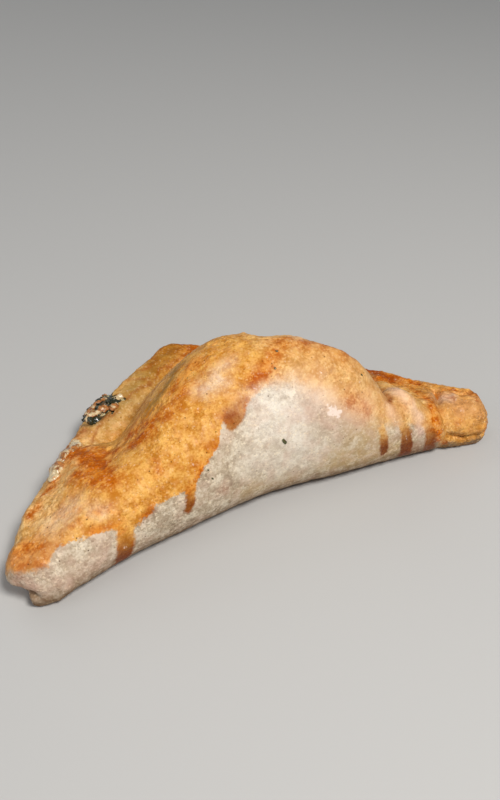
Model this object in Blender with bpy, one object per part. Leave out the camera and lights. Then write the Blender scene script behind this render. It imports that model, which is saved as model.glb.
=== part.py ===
"""A baked turnover of spinach and cheese: a square of dough folded corner to corner over its filling.

The long side is the fold. The two short sides are pressed seams, which meet at a blunt corner, and
near one end of the fold the seam has burst, so the filling shows there.
X runs along the fold, Y from the fold towards the corner, Z up.
Lengths are in millimetres, and the meshes are made from them in metres.
"""

import math

import bmesh
import bpy
import numpy as np
from mathutils import Vector, noise

MM = 0.001

# The rim, where the dough is widest seen from above, anticlockwise from the left end of the fold.
# Each row: x, y, height of the widest line, and how far the dough rounds inwards above and below it.
FOLD = (
    (-75, -7.0, 6, 9, 5),
    (-66, -5.5, 8, 13, 8),
    (-50, -3.0, 12, 18, 9),
    (-28, -1.5, 15, 23, 11),
    (0, 0.0, 17, 27, 12),
    (28, -2.5, 16, 25, 11),
    (52, -3.5, 12, 16, 9),
    (64, -4.5, 10, 12, 7),
    (74, -5.5, 5, 8, 4),
)
RIGHT_END = (
    (82, -5.5, 4, 6, 3),
    (87, 0.0, 4, 5, 3),
    (86.5, 8.0, 6, 5, 3),
)
SEAMS = (
    (80, 17.0, 9, 5, 3),
    (69, 29.0, 9, 5, 3),
    (45, 52.0, 8, 5, 3),
    (22, 72.0, 8, 5, 3),
    (8.5, 80.5, 8, 5, 3),
    (-2, 86.0, 8, 5, 3),
    (-14, 79.5, 8, 5, 3),
    (-32, 67.0, 8, 5, 3),
    (-49.5, 53.2, 8, 5, 3),
    (-65, 35.0, 8, 5, 3),
    (-77, 22.5, 7, 5, 3),
)
LEFT_END = (
    (-83, 12.5, 8, 5, 4),
    (-86.3, 6.5, 8, 3.2, 4),
    (-87.2, 2.0, 7.5, 2.6, 3),
    (-85.4, -2.0, 7, 2.8, 3),
    (-81.0, -5.8, 6.5, 5, 3),
)

# The upper lip of the left end hangs over the lower one: where, how far round, and by how much.
LIP_AT = (-88, 4)
LIP_REACH = (7.0, 10.5)
LIP_OVERHANG = 4.2

# The end fold pinches the rim in: where, how far round, and by how much.
PINCH_AT = (65.8, -5)
PINCH_WIDTH = 1.4
PINCH_DEPTH = 1.3

# The line on which the rings of the mesh close, under the ridge of the filled pocket.
SPINE_LEFT = (-77, 7)
SPINE_RIGHT = (74, 5)
SPINE_BACK = 38
SPINE_CURVE = 1.7

# Heights along X of the ridge over the filling, then how it falls away behind its line.
RIDGE = (
    (-88, 13), (-76, 18), (-58, 26), (-35, 36), (-12, 45.5), (5, 49), (24, 50), (36, 46), (48, 35),
    (57, 25), (66, 21), (74, 17), (88, 14.5),
)
RIDGE_Y = 30.0
BACK_FALL = 0.008

# The seam margin: its height, its width, and how the dough puffs up inside it.
SEAM_HEIGHT = 14.5
MARGIN = 15.0
MARGIN_LEFT = (-62, -36)
MARGIN_RIGHT = (-84, -45)
PUFF_REACH = 29.0
CORNER_SOFTNESS = 6.0
GROOVE_DEPTH = 2.2
GROOVE_WIDTH = 3.5

# Creases (positive) and swellings (negative) of the upper side: depth, half width, path in plan.
CREASES = {
    "pocket_end": (3.0, 1.6, ((54, 33), (51.5, 28), (50, 21), (48, 14))),
    "knee": (5.0, 1.7, ((49, 18), (47.7, 12), (47.6, 8.5))),
    "end_fold": (2.6, 1.5, ((77, 21), (72.8, 13), (69.9, 8.2), (67.4, 4.1), (66, 0), (65.5, -7))),
    "pleat": (-4.0, 3.4, ((58, 27), (53.8, 18), (53, 11), (55, 4))),
    "top_dip": (1.8, 5.0, ((4, 52), (12, 40), (14, 34))),
    "shoulder": (5.0, 6.5, ((49, 14), (45, 6), (38, -2))),
    "left_flute": (1.6, 4.0, ((-30, 48), (-42, 34), (-50, 20))),
}

# Lumps of filling that show through the dough, and the uneven handwork of the seams.
LUMP_SIZE = 15.0
LUMP_HEIGHT = 1.3
RIPPLE_SIZE = 5.5
RIPPLE_HEIGHT = 0.5
SEAM_WAVE = 9.0
SEAM_WANDER = 1.3
SPLIT_DEPTH = 1.6
SPLIT_VARIES = 0.9
SPLIT_LEFT = (79, 83)
SPLIT_RIGHT = (65, 69)

# The filling fits inside these walls of dough, and leaves this gap to them.
TOP_WALL = 3.4
BASE_WALL = 3.5
POCKET_INSET = 4.0
POCKET_THINNEST = 13.0
POCKET_RIGHT = 45.0
POCKET_CENTRE = (-8, 24)
POCKET_STEP = 0.5
POCKET_CORNERS = 3.6
GAP = 0.4
MERGE_WITHIN = 0.02

# The burst in the left seam: the strand of filling that comes out there, a flat box of soft edges.
BURST_FROM = (-22, 39, 6.4)
BURST_TO = (-38.8, 62.8, 10.4)
BURST_WIDTH = 11.0
BURST_HEIGHT = (2.6, 5.9)
BURST_RISE = (0.5, 0.86)
BURST_SQUARENESS = 0.5
BURST_BLUNTNESS = 0.22
BURST_TIPS = 0.03
BURST_LUMPS = 0.2
BURST_LUMPINESS = 3.0

# How far in the rim's roundings may reach, as a share of the way to the spine.
ROUNDING_LIMIT = 0.85

# How many steps the curves and the meshes take.
CURVE_STEPS = 40
EDGE_STEPS = 120
END_STEPS = 20
RIDGE_STEPS = 200
CREASE_STEPS = 24
ALONG = 74
ROUND_END = 9
RIM_ANGLES = (0, 8, 22, 40, 62, 90)
UNDER_ANGLES = (0, 12, 32, 58, 90)
INNER_STEPS = 10
BASE_STEPS = 3
POCKET_SIDES = 56
POCKET_RINGS = (0.12, 0.28, 0.44, 0.59, 0.73, 0.84, 0.92, 0.97, 1.0)
BURST_SIDES = 20
BURST_RINGS = 12


def curve_through(points, samples):
    """A smooth open curve through the points, given back at even steps of its length."""
    points = np.array(points, float)
    padded = np.vstack([2 * points[0] - points[1], points, 2 * points[-1] - points[-2]])
    fine = []
    for a, b, c, d in zip(padded, padded[1:], padded[2:], padded[3:]):
        for t in np.linspace(0, 1, CURVE_STEPS, endpoint=False):
            bend = (2 * a - 5 * b + 4 * c - d) * t**2 + (3 * b - a - 3 * c + d) * t**3
            fine.append(0.5 * (2 * b + (c - a) * t + bend))
    fine = np.array(fine + [points[-1]])
    run = np.concatenate([[0], np.cumsum(np.linalg.norm(np.diff(fine[:, :2], axis=0), axis=1))])
    wanted = np.linspace(0, run[-1], samples)
    return np.array([np.interp(wanted, run, column) for column in fine.T]).T


def nearest_on(path, xy):
    """Distance in plan from each point to a polyline, with the polyline's own values at the nearest place."""
    start, step = path[:-1, :2], np.diff(path[:, :2], axis=0)
    rel = xy[:, None, :] - start
    t = np.clip((rel * step).sum(-1) / (step**2).sum(-1), 0, 1)
    distance = np.linalg.norm(rel - t[..., None] * step, axis=-1)
    best = distance.argmin(axis=1)
    here = np.arange(len(xy))
    values = path[best] + np.diff(path, axis=0)[best] * t[here, best][:, None]
    return distance[here, best], values


def ease(value, low, high):
    """0 below low, 1 above high, smooth between."""
    t = np.clip((value - low) / (high - low), 0, 1)
    return t * t * (3 - 2 * t)


def squared(value, squareness):
    """A cosine or sine pushed towards 1 or -1, which makes an ellipse more like a box."""
    return math.copysign(abs(value) ** squareness, value)


def rough(points, size, seed=0.0):
    """Smooth noise between about -1 and 1, with bumps of the given size."""
    return np.array([noise.noise(Vector((x / size, y / size, seed))) for x, y in points[:, :2]])


SEAM_LINE = curve_through(SEAMS, EDGE_STEPS)
RIM_LINE = np.vstack([
    curve_through(FOLD, EDGE_STEPS),
    curve_through((FOLD[-1],) + RIGHT_END + (SEAMS[0],), END_STEPS)[1:-1],
    SEAM_LINE,
    curve_through((SEAMS[-1],) + LEFT_END + (FOLD[0],), END_STEPS)[1:],
])


def seam_distance(xy):
    """Distance in plan to the two seams, rounded off where it changes from one to the other."""
    corner = len(SEAM_LINE) // 2
    right, _ = nearest_on(SEAM_LINE[:corner], xy)
    left, _ = nearest_on(SEAM_LINE[corner:], xy)
    return -CORNER_SOFTNESS * np.log(np.exp(-right / CORNER_SOFTNESS) + np.exp(-left / CORNER_SOFTNESS))


def crown(xy):
    """Height of the upper side, before its rim rounds it off: margin, groove, puffed pocket, creases."""
    x, y = xy[:, 0], xy[:, 1]
    ridge = curve_through(RIDGE, RIDGE_STEPS)
    peak = np.interp(x, ridge[:, 0], ridge[:, 1]) - BACK_FALL * np.clip(y - RIDGE_Y, 0, None) ** 2
    seam = seam_distance(xy)
    shoulders = ease(x, *MARGIN_LEFT) * ease(-x, *MARGIN_RIGHT)
    margin = MARGIN * shoulders
    puff = 1 - (1 - np.clip((seam - margin) / PUFF_REACH, 0, 1)) ** 2
    slab = np.minimum(SEAM_HEIGHT, peak)
    height = slab + (peak - slab) * puff
    height -= GROOVE_DEPTH * shoulders * np.exp(-((seam - margin + 1) / GROOVE_WIDTH) ** 2)
    for depth, half_width, path in CREASES.values():
        away, _ = nearest_on(curve_through(path, CREASE_STEPS), xy)
        height -= depth * np.exp(-((away / half_width) ** 2))
    height += LUMP_HEIGHT * rough(xy, LUMP_SIZE) + RIPPLE_HEIGHT * rough(xy, RIPPLE_SIZE, seed=7.0)
    return height


def walls(xy):
    """Heights of the upper and the under side at points inside the rim."""
    edge, rim = nearest_on(RIM_LINE, xy)
    widest, above, below = rim[:, 2], rim[:, 3], rim[:, 4]
    upper = widest + (crown(xy) - widest) * np.sqrt(1 - (1 - np.clip(edge / above, 0, 1)) ** 2)
    under = widest - widest * np.sqrt(1 - (1 - np.clip(edge / below, 0, 1)) ** 2)
    return upper, under


def rim_columns():
    """Points round the rim, the spine point each one faces, and how far its two layers are pressed."""
    front = curve_through(FOLD, ALONG + 1)
    back = curve_through(SEAMS, ALONG + 1)
    right = curve_through((FOLD[-1],) + RIGHT_END + (SEAMS[0],), ROUND_END + 1)[1:-1]
    left = curve_through((SEAMS[-1],) + LEFT_END + (FOLD[0],), ROUND_END + 1)[1:-1]
    share = np.linspace(-1, 1, ALONG + 1)
    spine_x = np.interp(share, (-1, 1), (SPINE_LEFT[0], SPINE_RIGHT[0]))
    end_y = np.interp(share, (-1, 1), (SPINE_LEFT[1], SPINE_RIGHT[1]))
    spine_y = end_y + (SPINE_BACK - end_y) * (1 - np.abs(share) ** SPINE_CURVE)
    spine = np.column_stack([spine_x, spine_y])
    rim = np.vstack([front, right, back, left])
    facing = np.vstack([
        spine, np.repeat(spine[-1:], len(right), axis=0),
        spine[::-1], np.repeat(spine[:1], len(left), axis=0),
    ])
    ends = np.maximum(ease(-rim[:, 0], *SPLIT_LEFT), ease(rim[:, 0], *SPLIT_RIGHT))
    pressed = np.where(rim[:, 1] < SPINE_BACK / 2, ends, 1)
    return rim, facing, pressed


def crust_rows():
    """The dough's skin: rows run round the rim, from the spine over the top and the rim to the base.

    Where the seams and the ends are pressed, the row between the roundings is drawn in as the split
    between the two layers of dough.
    """
    rim, spine, pressed = rim_columns()
    reach = np.linalg.norm(spine - rim[:, :2], axis=1)
    inwards = (spine - rim[:, :2]) / reach[:, None]
    widest = rim[:, 2]
    above = np.minimum(rim[:, 3], ROUNDING_LIMIT * reach)
    below = np.minimum(rim[:, 4], ROUNDING_LIMIT * reach)
    from_lip = np.linalg.norm(rim[:, :2] - LIP_AT, axis=1)
    overhang = LIP_OVERHANG * (1 - ease(from_lip, *LIP_REACH))
    from_pinch = np.linalg.norm(rim[:, :2] - PINCH_AT, axis=1)
    pinch = PINCH_DEPTH * np.exp(-((from_pinch / PINCH_WIDTH) ** 2))
    upper_lip = pinch + pressed * SEAM_WANDER * rough(rim, SEAM_WAVE, seed=3.0)
    lower_lip = pinch + pressed * SEAM_WANDER * rough(rim, SEAM_WAVE, seed=5.0)

    def place(inset):
        return rim[:, :2] + inwards * inset[:, None]

    rows = []
    for step in range(INNER_STEPS):
        xy = place(reach + (above - reach) * step / INNER_STEPS)
        rows.append(np.column_stack([xy, crown(xy)]))
    for angle in reversed(RIM_ANGLES[1:]):
        turn = math.radians(angle)
        xy = place(above * (1 - math.cos(turn)) + upper_lip * math.cos(turn))
        rows.append(np.column_stack([xy, widest + (crown(xy) - widest) * math.sin(turn)]))
    split = pressed * (SPLIT_DEPTH + SPLIT_VARIES * rough(rim, SEAM_WAVE, seed=9.0))
    rows.append(np.column_stack([place(pinch + split + overhang), widest]))
    for angle in UNDER_ANGLES[1:]:
        turn = math.radians(angle)
        xy = place(overhang + below * (1 - math.cos(turn)) + lower_lip * math.cos(turn))
        rows.append(np.column_stack([xy, widest * (1 - math.sin(turn))]))
    for step in range(1, BASE_STEPS + 1):
        edge = below + overhang
        xy = place(edge + (reach - edge) * step / BASE_STEPS)
        rows.append(np.column_stack([xy, np.zeros(len(xy))]))
    return np.array(rows)


def filling_rows():
    """The heap inside the pocket, out to where the dough's walls leave it no room."""
    turns = np.linspace(0, 2 * math.pi, POCKET_SIDES, endpoint=False)
    heading = np.column_stack([np.cos(turns), np.sin(turns)])
    centre = np.array(POCKET_CENTRE, float)
    radius = np.zeros(POCKET_SIDES)
    growing = np.full(POCKET_SIDES, True)
    while growing.any():
        xy = centre + heading * (radius + POCKET_STEP)[:, None]
        upper, under = walls(xy)
        edge, _ = nearest_on(RIM_LINE, xy)
        growing &= (upper - under > POCKET_THINNEST) & (edge > POCKET_INSET)
        growing &= (seam_distance(xy) > MARGIN + POCKET_INSET) & (xy[:, 0] < POCKET_RIGHT)
        radius = np.where(growing, radius + POCKET_STEP, radius)
    rows = []
    outwards = [(share, 1) for share in POCKET_RINGS]
    back_in = [(share, -1) for share in reversed(POCKET_RINGS[:-1])]
    for share, side in outwards + back_in:
        xy = centre + heading * (radius * share)[:, None]
        upper, under = walls(xy)
        top, bottom = upper - TOP_WALL, under + BASE_WALL
        lift = side * (1 - share**POCKET_CORNERS) ** (1 / POCKET_CORNERS)
        rows.append(np.column_stack([xy, (top + bottom) / 2 + (top - bottom) / 2 * lift]))
    return rows


def strand_rows():
    """The strand of filling that runs from the pocket through the burst seam."""
    start, end = Vector(BURST_FROM), Vector(BURST_TO)
    along = Vector((end.x - start.x, end.y - start.y, 0)).normalized()
    across = Vector((0, 0, 1)).cross(along)
    rows = []
    for step in np.linspace(0, 1, BURST_RINGS):
        rise = ease(step, *BURST_RISE)
        share = math.sin(math.pi * (BURST_TIPS + (1 - 2 * BURST_TIPS) * step)) ** BURST_BLUNTNESS
        centre = start.lerp(end, step)
        centre.z = start.z + (end.z - start.z) * rise
        height = BURST_HEIGHT[0] + (BURST_HEIGHT[1] - BURST_HEIGHT[0]) * rise
        row = []
        for side in range(BURST_SIDES):
            turn = 2 * math.pi * side / BURST_SIDES
            lump = noise.noise(BURST_LUMPINESS * Vector((math.cos(turn), math.sin(turn), step)))
            size = share * (1 + BURST_LUMPS * lump)
            sideways = BURST_WIDTH * size * squared(math.cos(turn), BURST_SQUARENESS)
            upwards = height * size * squared(math.sin(turn), BURST_SQUARENESS)
            row.append(centre + across * sideways + Vector((0, 0, upwards)))
        rows.append(row)
    return rows


def skinned_solid(name, rows, material, swell=0.0):
    """A closed solid from rings of points: faces between the rings, and the end rings closed."""
    bm = bmesh.new()
    rings = [[bm.verts.new(Vector(point) * MM) for point in row] for row in rows]
    for upper, lower in zip(rings, rings[1:]):
        for i, corner in enumerate(upper):
            bm.faces.new((upper[i - 1], lower[i - 1], lower[i], corner))
    bmesh.ops.remove_doubles(bm, verts=bm.verts, dist=MERGE_WITHIN * MM)
    ends = bmesh.ops.holes_fill(bm, edges=bm.edges)["faces"]
    bmesh.ops.poke(bm, faces=ends)
    bmesh.ops.triangulate(bm, faces=bm.faces, quad_method="FIXED")
    bmesh.ops.recalc_face_normals(bm, faces=bm.faces)
    bm.normal_update()
    for vertex in bm.verts:
        vertex.co += vertex.normal * swell * MM
    mesh = bpy.data.meshes.new(name)
    bm.to_mesh(mesh)
    bm.free()
    mesh.materials.append(material)
    mesh.shade_smooth()
    solid = bpy.data.objects.new(name, mesh)
    bpy.context.scene.collection.objects.link(solid)
    return solid


def filling_solid(name, material, swell=0.0):
    """The filling's core with its strand, joined into one body."""
    core = skinned_solid(name, filling_rows(), material, swell)
    strand = skinned_solid(name + "_strand", strand_rows(), material, swell)
    combine(core, strand, "UNION")
    return core


def combine(solid, tool, operation):
    """Joins or cuts with a Boolean, applies it, and takes the tool away."""
    step = solid.modifiers.new(operation.lower(), "BOOLEAN")
    step.operation = operation
    step.object = tool
    step.solver = "EXACT"
    bpy.context.view_layer.update()
    shaped = bpy.data.meshes.new_from_object(solid.evaluated_get(bpy.context.evaluated_depsgraph_get()))
    solid.modifiers.remove(step)
    solid.data = shaped
    bpy.data.objects.remove(tool)


def plain_material(name, colour, roughness):
    material = bpy.data.materials.new(name)
    material.use_nodes = True
    shader = material.node_tree.nodes["Principled BSDF"]
    shader.inputs["Base Color"].default_value = (*colour, 1)
    shader.inputs["Roughness"].default_value = roughness
    return material


def centre_on_floor(solids, measured):
    """Moves every mesh so that the measured solid's box stands on the origin."""
    corners = [vertex.co for vertex in measured.data.vertices]
    low = [min(corner[axis] for corner in corners) for axis in range(3)]
    high = [max(corner[axis] for corner in corners) for axis in range(3)]
    shift = Vector(((low[0] + high[0]) / -2, (low[1] + high[1]) / -2, -low[2]))
    for solid in solids:
        for vertex in solid.data.vertices:
            vertex.co += shift
    return shift


def main():
    for thing in list(bpy.data.objects):
        bpy.data.objects.remove(thing)
    dough = plain_material("baked_dough", (0.66, 0.36, 0.14), 0.6)
    greens = plain_material("spinach_and_cheese", (0.05, 0.09, 0.03), 0.4)
    crust = skinned_solid("crust", crust_rows(), dough)
    combine(crust, filling_solid("cavity", dough, swell=GAP), "DIFFERENCE")
    filling = filling_solid("filling", greens)
    centre_on_floor((crust, filling), crust)


main()
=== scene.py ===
# %% [markdown]
# # A baked spinach and cheese turnover
# The real thing is a square of short dough, folded corner to corner over a heap of spinach and cheese,
# pressed along its two open sides, brushed with beaten egg and baked on a tray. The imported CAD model
# gives the size, the place and the two solids, `crust` and `filling`. This script makes what a baker
# would look for: the grain of the dough, the brushed egg with its drips, the browning, and the burst
# in the seam. Lengths below are in millimetres and are turned into metres when a mesh is made.

# %% Load the frame
import math

import bmesh
import bpy
import numpy as np
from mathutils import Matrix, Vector, noise
from mathutils.bvhtree import BVHTree


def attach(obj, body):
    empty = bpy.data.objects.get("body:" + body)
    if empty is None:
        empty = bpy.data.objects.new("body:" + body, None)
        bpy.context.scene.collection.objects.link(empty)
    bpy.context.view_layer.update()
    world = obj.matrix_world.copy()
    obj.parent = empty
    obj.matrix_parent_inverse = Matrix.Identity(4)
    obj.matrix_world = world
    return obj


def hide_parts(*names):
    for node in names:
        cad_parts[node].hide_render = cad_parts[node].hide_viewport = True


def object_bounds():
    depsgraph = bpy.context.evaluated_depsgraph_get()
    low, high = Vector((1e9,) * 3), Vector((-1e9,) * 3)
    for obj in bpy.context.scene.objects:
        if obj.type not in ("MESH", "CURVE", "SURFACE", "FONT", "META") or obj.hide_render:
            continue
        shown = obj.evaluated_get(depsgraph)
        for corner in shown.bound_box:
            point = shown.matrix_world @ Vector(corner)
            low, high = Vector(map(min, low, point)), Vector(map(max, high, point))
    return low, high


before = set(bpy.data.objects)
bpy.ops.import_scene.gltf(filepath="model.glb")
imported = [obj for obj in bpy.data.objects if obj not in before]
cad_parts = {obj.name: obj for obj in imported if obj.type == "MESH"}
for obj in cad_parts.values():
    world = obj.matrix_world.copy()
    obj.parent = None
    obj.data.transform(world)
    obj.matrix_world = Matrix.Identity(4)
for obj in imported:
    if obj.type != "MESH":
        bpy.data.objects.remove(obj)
cad_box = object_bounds()
MM = 0.001
print("CAD box in mm:", [[round(v / MM, 1) for v in corner] for corner in cad_box])

# %% [markdown]
# ## Floor, light and camera
# A crust is matt with small glints, so it wants one large soft light to one side, which draws out the
# folds, and weak light from everywhere else, which keeps the grooves from turning black. A studio would
# use a softbox and a pale sweep. Area lights and a plain floor do the same here.

# %% Floor


def plain_material(name, colour, roughness):
    material = bpy.data.materials.new(name)
    material.use_nodes = True
    shader = material.node_tree.nodes["Principled BSDF"]
    shader.inputs["Base Color"].default_value = (*colour, 1)
    shader.inputs["Roughness"].default_value = roughness
    return material


def link(thing):
    bpy.context.scene.collection.objects.link(thing)
    return thing


FLOOR_SIZE = 4.0
floor_mesh = bpy.data.meshes.new("floor")
half = FLOOR_SIZE / 2
corners = [(-half, -half, 0), (half, -half, 0), (half, half, 0), (-half, half, 0)]
floor_mesh.from_pydata(corners, [], [(0, 1, 2, 3)])
floor_mesh.materials.append(plain_material("floor_paint", (0.50, 0.495, 0.485), 0.6))
floor = link(bpy.data.objects.new("floor", floor_mesh))
print("floor", FLOOR_SIZE, "m wide")

# %% Lights
TARGET = Vector((0, 0, 18)) * MM


def softbox(name, towards, away, size, watts, colour):
    """A square area light that faces the piece from the given side."""
    light = bpy.data.lights.new(name, "AREA")
    light.size, light.energy, light.color = size, watts, colour
    lamp = link(bpy.data.objects.new(name, light))
    lamp.location = TARGET + Vector(towards).normalized() * away
    lamp.rotation_euler = (TARGET - lamp.location).to_track_quat("-Z", "Y").to_euler()
    return lamp


softbox("key", (0.08, -0.56, 0.83), 0.85, 0.22, 6.8, (1.0, 0.97, 0.93))
softbox("fill", (-0.9, -0.1, 0.6), 1.1, 0.7, 1.6, (0.97, 0.98, 1.0))
softbox("back", (-0.25, 0.9, 0.8), 1.1, 0.6, 1.3, (1.0, 0.97, 0.93))
world = bpy.data.worlds.new("room")
world.use_nodes = True
world.node_tree.nodes["Background"].inputs["Color"].default_value = (0.9, 0.95, 1.0, 1)
world.node_tree.nodes["Background"].inputs["Strength"].default_value = 0.22
bpy.context.scene.world = world
bpy.context.scene.view_settings.view_transform = "Standard"

# %% Camera
CAMERA_AT = (-101.8, -222.2, 215.8)
CAMERA_FORWARD = (0.454, 0.891)
CAMERA_PITCH = 39.0
CAMERA_LENS = 40.5

pitch = math.radians(CAMERA_PITCH)
look = Vector((*CAMERA_FORWARD, 0)).normalized() * math.cos(pitch) - Vector((0, 0, math.sin(pitch)))
camera = link(bpy.data.objects.new("camera", bpy.data.cameras.new("camera")))
camera.location = Vector(CAMERA_AT) * MM
camera.rotation_euler = look.to_track_quat("-Z", "Y").to_euler()
camera.data.lens = CAMERA_LENS
camera.data.clip_start = 0.01
bpy.context.scene.camera = camera
print("camera", round((camera.location - TARGET).length / MM), "mm away")

# %% [markdown]
# ## The shape of the crust
# The crust is one skin of dough. It could be sculpted by hand, or grown from the CAD solid with a
# subdivision. Here it is lofted instead: columns of points start under the ridge of the filled pocket,
# run over the top, round the rim and under to the base. The same few lines of numbers that shape the
# CAD solid give the rim and the ridge, so the two agree, and the fine mesh leaves room for small relief.
# X runs along the fold, Y from the fold to the corner where the seams meet.

# %% Outline and heights
# Rim rows: x, y, height of the widest line, and how far the dough rounds inwards above and below it.
FOLD = (
    (-75, -7, 6, 9, 5), (-66, -5.5, 8, 13, 8), (-50, -3, 12, 18, 9), (-28, -1.5, 15, 23, 11),
    (0, 0, 17, 27, 12), (28, -2.5, 16, 25, 11), (52, -3.5, 12, 16, 9), (64, -4.5, 10, 12, 7),
    (74, -5.5, 5, 8, 4),
)
RIGHT_END = ((82, -5.5, 4, 6, 3), (87, 0.0, 4, 5, 3), (86.5, 8.0, 6, 5, 3))
SEAMS = (
    (80, 17, 9, 5, 3), (69, 29, 9, 5, 3), (45, 52, 8, 5, 3), (22, 72, 8, 5, 3),
    (8.5, 80.5, 8, 5, 3), (-2, 86, 8, 5, 3), (-14, 79.5, 8, 5, 3), (-32, 67, 8, 5, 3),
    (-49.5, 53.2, 8, 5, 3), (-65, 35, 8, 5, 3), (-77, 22.5, 7, 5, 3),
)
LEFT_END = (
    (-83, 12.5, 8, 5, 4), (-86.3, 6.5, 8, 3.2, 4), (-87.2, 2, 7.5, 2.6, 3), (-85.4, -2, 7, 2.8, 3),
    (-81, -5.8, 6.5, 5, 3),
)
RIDGE = (
    (-88, 13), (-76, 18), (-58, 26), (-35, 36), (-12, 45.5), (5, 49), (24, 50), (36, 46), (48, 35),
    (57, 25), (66, 21), (74, 17), (88, 14.5),
)
SPINE = ((-77, 7), (74, 5))
SPINE_BACK, SPINE_CURVE = 38, 1.7
RIDGE_Y, BACK_FALL = 30.0, 0.008
SEAM_HEIGHT, MARGIN, PUFF_REACH, CORNER_SOFTNESS = 14.5, 15.0, 29.0, 6.0
MARGIN_LEFT, MARGIN_RIGHT = (-62, -36), (-84, -45)
GROOVE_DEPTH, GROOVE_WIDTH = 2.2, 3.5
LIP_AT, LIP_REACH, LIP_OVERHANG = (-88, 4), (7.0, 10.5), 4.2
PINCH_AT, PINCH_WIDTH, PINCH_DEPTH = (65.8, -5), 1.4, 1.3
print(len(FOLD) + len(RIGHT_END) + len(SEAMS) + len(LEFT_END), "points round the rim")

# %% [markdown]
# The folds come next. A wide dent along a short path makes a soft crease, a narrow one a crackle line, and
# a dent of negative depth a swelling. Where dough overlaps, the surface steps up along a ledge. All of it
# could be sculpted; as rows of numbers, each fold stays easy to move.

# %% Creases, as depth, half width and path
SOFT_CREASES = (
    (1.9, 1.4, ((54, 33), (51.5, 28), (50, 21), (48, 14))),
    (1.6, 1.2, ((48, 14), (47.4, 11), (46.4, 7.5))),
    (1.3, 1.1, ((46.8, 6.2), (45.6, 4.6), (44.6, 4))),
    (2, 1.3, ((72, 12.5), (69.9, 8.2), (67.4, 4.1), (66, 0), (65.5, -7))),
    (-3.8, 4.2, ((57, 27), (53.4, 18), (52.6, 11), (54, 4))),
    (1.8, 5, ((4, 52), (12, 40), (14, 34))),
    (4.2, 6.5, ((49, 14), (45, 6), (38, -2))),
    (1.6, 4, ((-30, 48), (-42, 34), (-50, 20))),
)
CRACKLE = (
    (0.4, 0.5, ((77, 11), (79.5, 8.5), (82.5, 6), (84.5, 3), (85.5, 0))),
    (0.3, 0.5, ((82.5, 6), (81, 3.5), (81.5, 1))),
    (0.3, 0.5, ((72.5, 7.5), (74, 5), (73, 3))),
    (0.35, 0.5, ((76, 8.5), (78.5, 6), (80.5, 5.5), (82.5, 6))),
)
LUMPS = ((15.0, 1.3, 0.0), (5.5, 0.5, 7.0))
# Ledges, as height, reach and path: the dough steps up on the side towards the rim.
LEDGES = (
    (1.1, 6, ((-25, 68), (-20.5, 69), (-17, 66.8), (-11.7, 69.2), (-5.9, 71.5), (-0.9, 73.5), (3, 73))),
    (0.8, 3.5, ((-19, 73.5), (-16.8, 72.6), (-13.6, 73.4), (-9, 74.6))),
    (0.9, 4, ((-32, 60), (-29.7, 61.8), (-27.3, 61.2), (-24.7, 61.1), (-21, 63.6), (-16.5, 65.1))),
    (0.7, 3.5, ((-14, 61), (-9, 64), (-3, 66.5), (2, 68))),
    (0.7, 3, ((-46, 45), (-42, 50), (-38, 52.5), (-34, 56))),
    (0.55, 4, ((14, 71), (20, 68.5), (27, 61.5), (33, 56.5), (38, 53.5))),
    (0.45, 3, ((44, 47), (50, 42.5), (55, 36.5))),
)
LEDGE_EDGE, LEDGE_SINK = 0.7, 0.35
LEDGE_WANDER, LEDGE_WAVE = 0.5, 2.2
SEAM_WAVE, SEAM_WANDER = 9.0, 1.3
SPLIT_DEPTH, SPLIT_VARIES = 2.0, 0.9
SPLIT_LEFT, SPLIT_RIGHT = (79, 83), (65, 69)
print(len(SOFT_CREASES) + len(CRACKLE), "creases")

# %% [markdown]
# A few helpers turn those numbers into shape: a smooth curve through points, the distance from a place to
# a curve, a soft step, and noise. Blender's curves could do the first two, but plain arrays of numbers
# are quicker when there are tens of thousands of places to ask about.

# %% Helpers for curves and fields


def curve_through(points, samples, steps=40):
    """A smooth open curve through the points, given back at even steps of its length."""
    points = np.array(points, float)
    padded = np.vstack([2 * points[0] - points[1], points, 2 * points[-1] - points[-2]])
    fine = []
    for a, b, c, d in zip(padded, padded[1:], padded[2:], padded[3:]):
        for t in np.linspace(0, 1, steps, endpoint=False):
            bend = (2 * a - 5 * b + 4 * c - d) * t**2 + (3 * b - a - 3 * c + d) * t**3
            fine.append(0.5 * (2 * b + (c - a) * t + bend))
    fine = np.array(fine + [points[-1]])
    run = np.concatenate([[0], np.cumsum(np.linalg.norm(np.diff(fine[:, :2], axis=0), axis=1))])
    wanted = np.linspace(0, run[-1], samples)
    return np.array([np.interp(wanted, run, column) for column in fine.T]).T


def nearest_on(path, places, axes=2):
    """Distance from each place to a polyline, and the polyline's own row of values there."""
    path = np.array(path, float)
    start, step = path[:-1, :axes], np.diff(path[:, :axes], axis=0)
    length2 = (step**2).sum(-1)
    distances, rows = [], []
    for chunk in np.array_split(places[:, :axes], max(1, len(places) // 4000)):
        rel = chunk[:, None, :] - start
        t = np.clip((rel * step).sum(-1) / length2, 0, 1)
        away = np.linalg.norm(rel - t[..., None] * step, axis=-1)
        best = away.argmin(axis=1)
        here = np.arange(len(chunk))
        distances.append(away[here, best])
        rows.append(path[best] + np.diff(path, axis=0)[best] * t[here, best][:, None])
    return np.concatenate(distances), np.vstack(rows)


def ease(value, low, high):
    """0 below low, 1 above high, smooth between."""
    t = np.clip((value - low) / (high - low), 0, 1)
    return t * t * (3 - 2 * t)


def rough(places, size, seed=0.0):
    """Smooth noise between about -1 and 1 in plan, with bumps of the given size."""
    return np.array([noise.noise(Vector((x / size, y / size, seed))) for x, y in places[:, :2]])


SEAM_LINE = curve_through(SEAMS, 120)
print("seams", round(float(np.linalg.norm(np.diff(SEAM_LINE[:, :2], axis=0), axis=1).sum())), "mm long")

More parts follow.
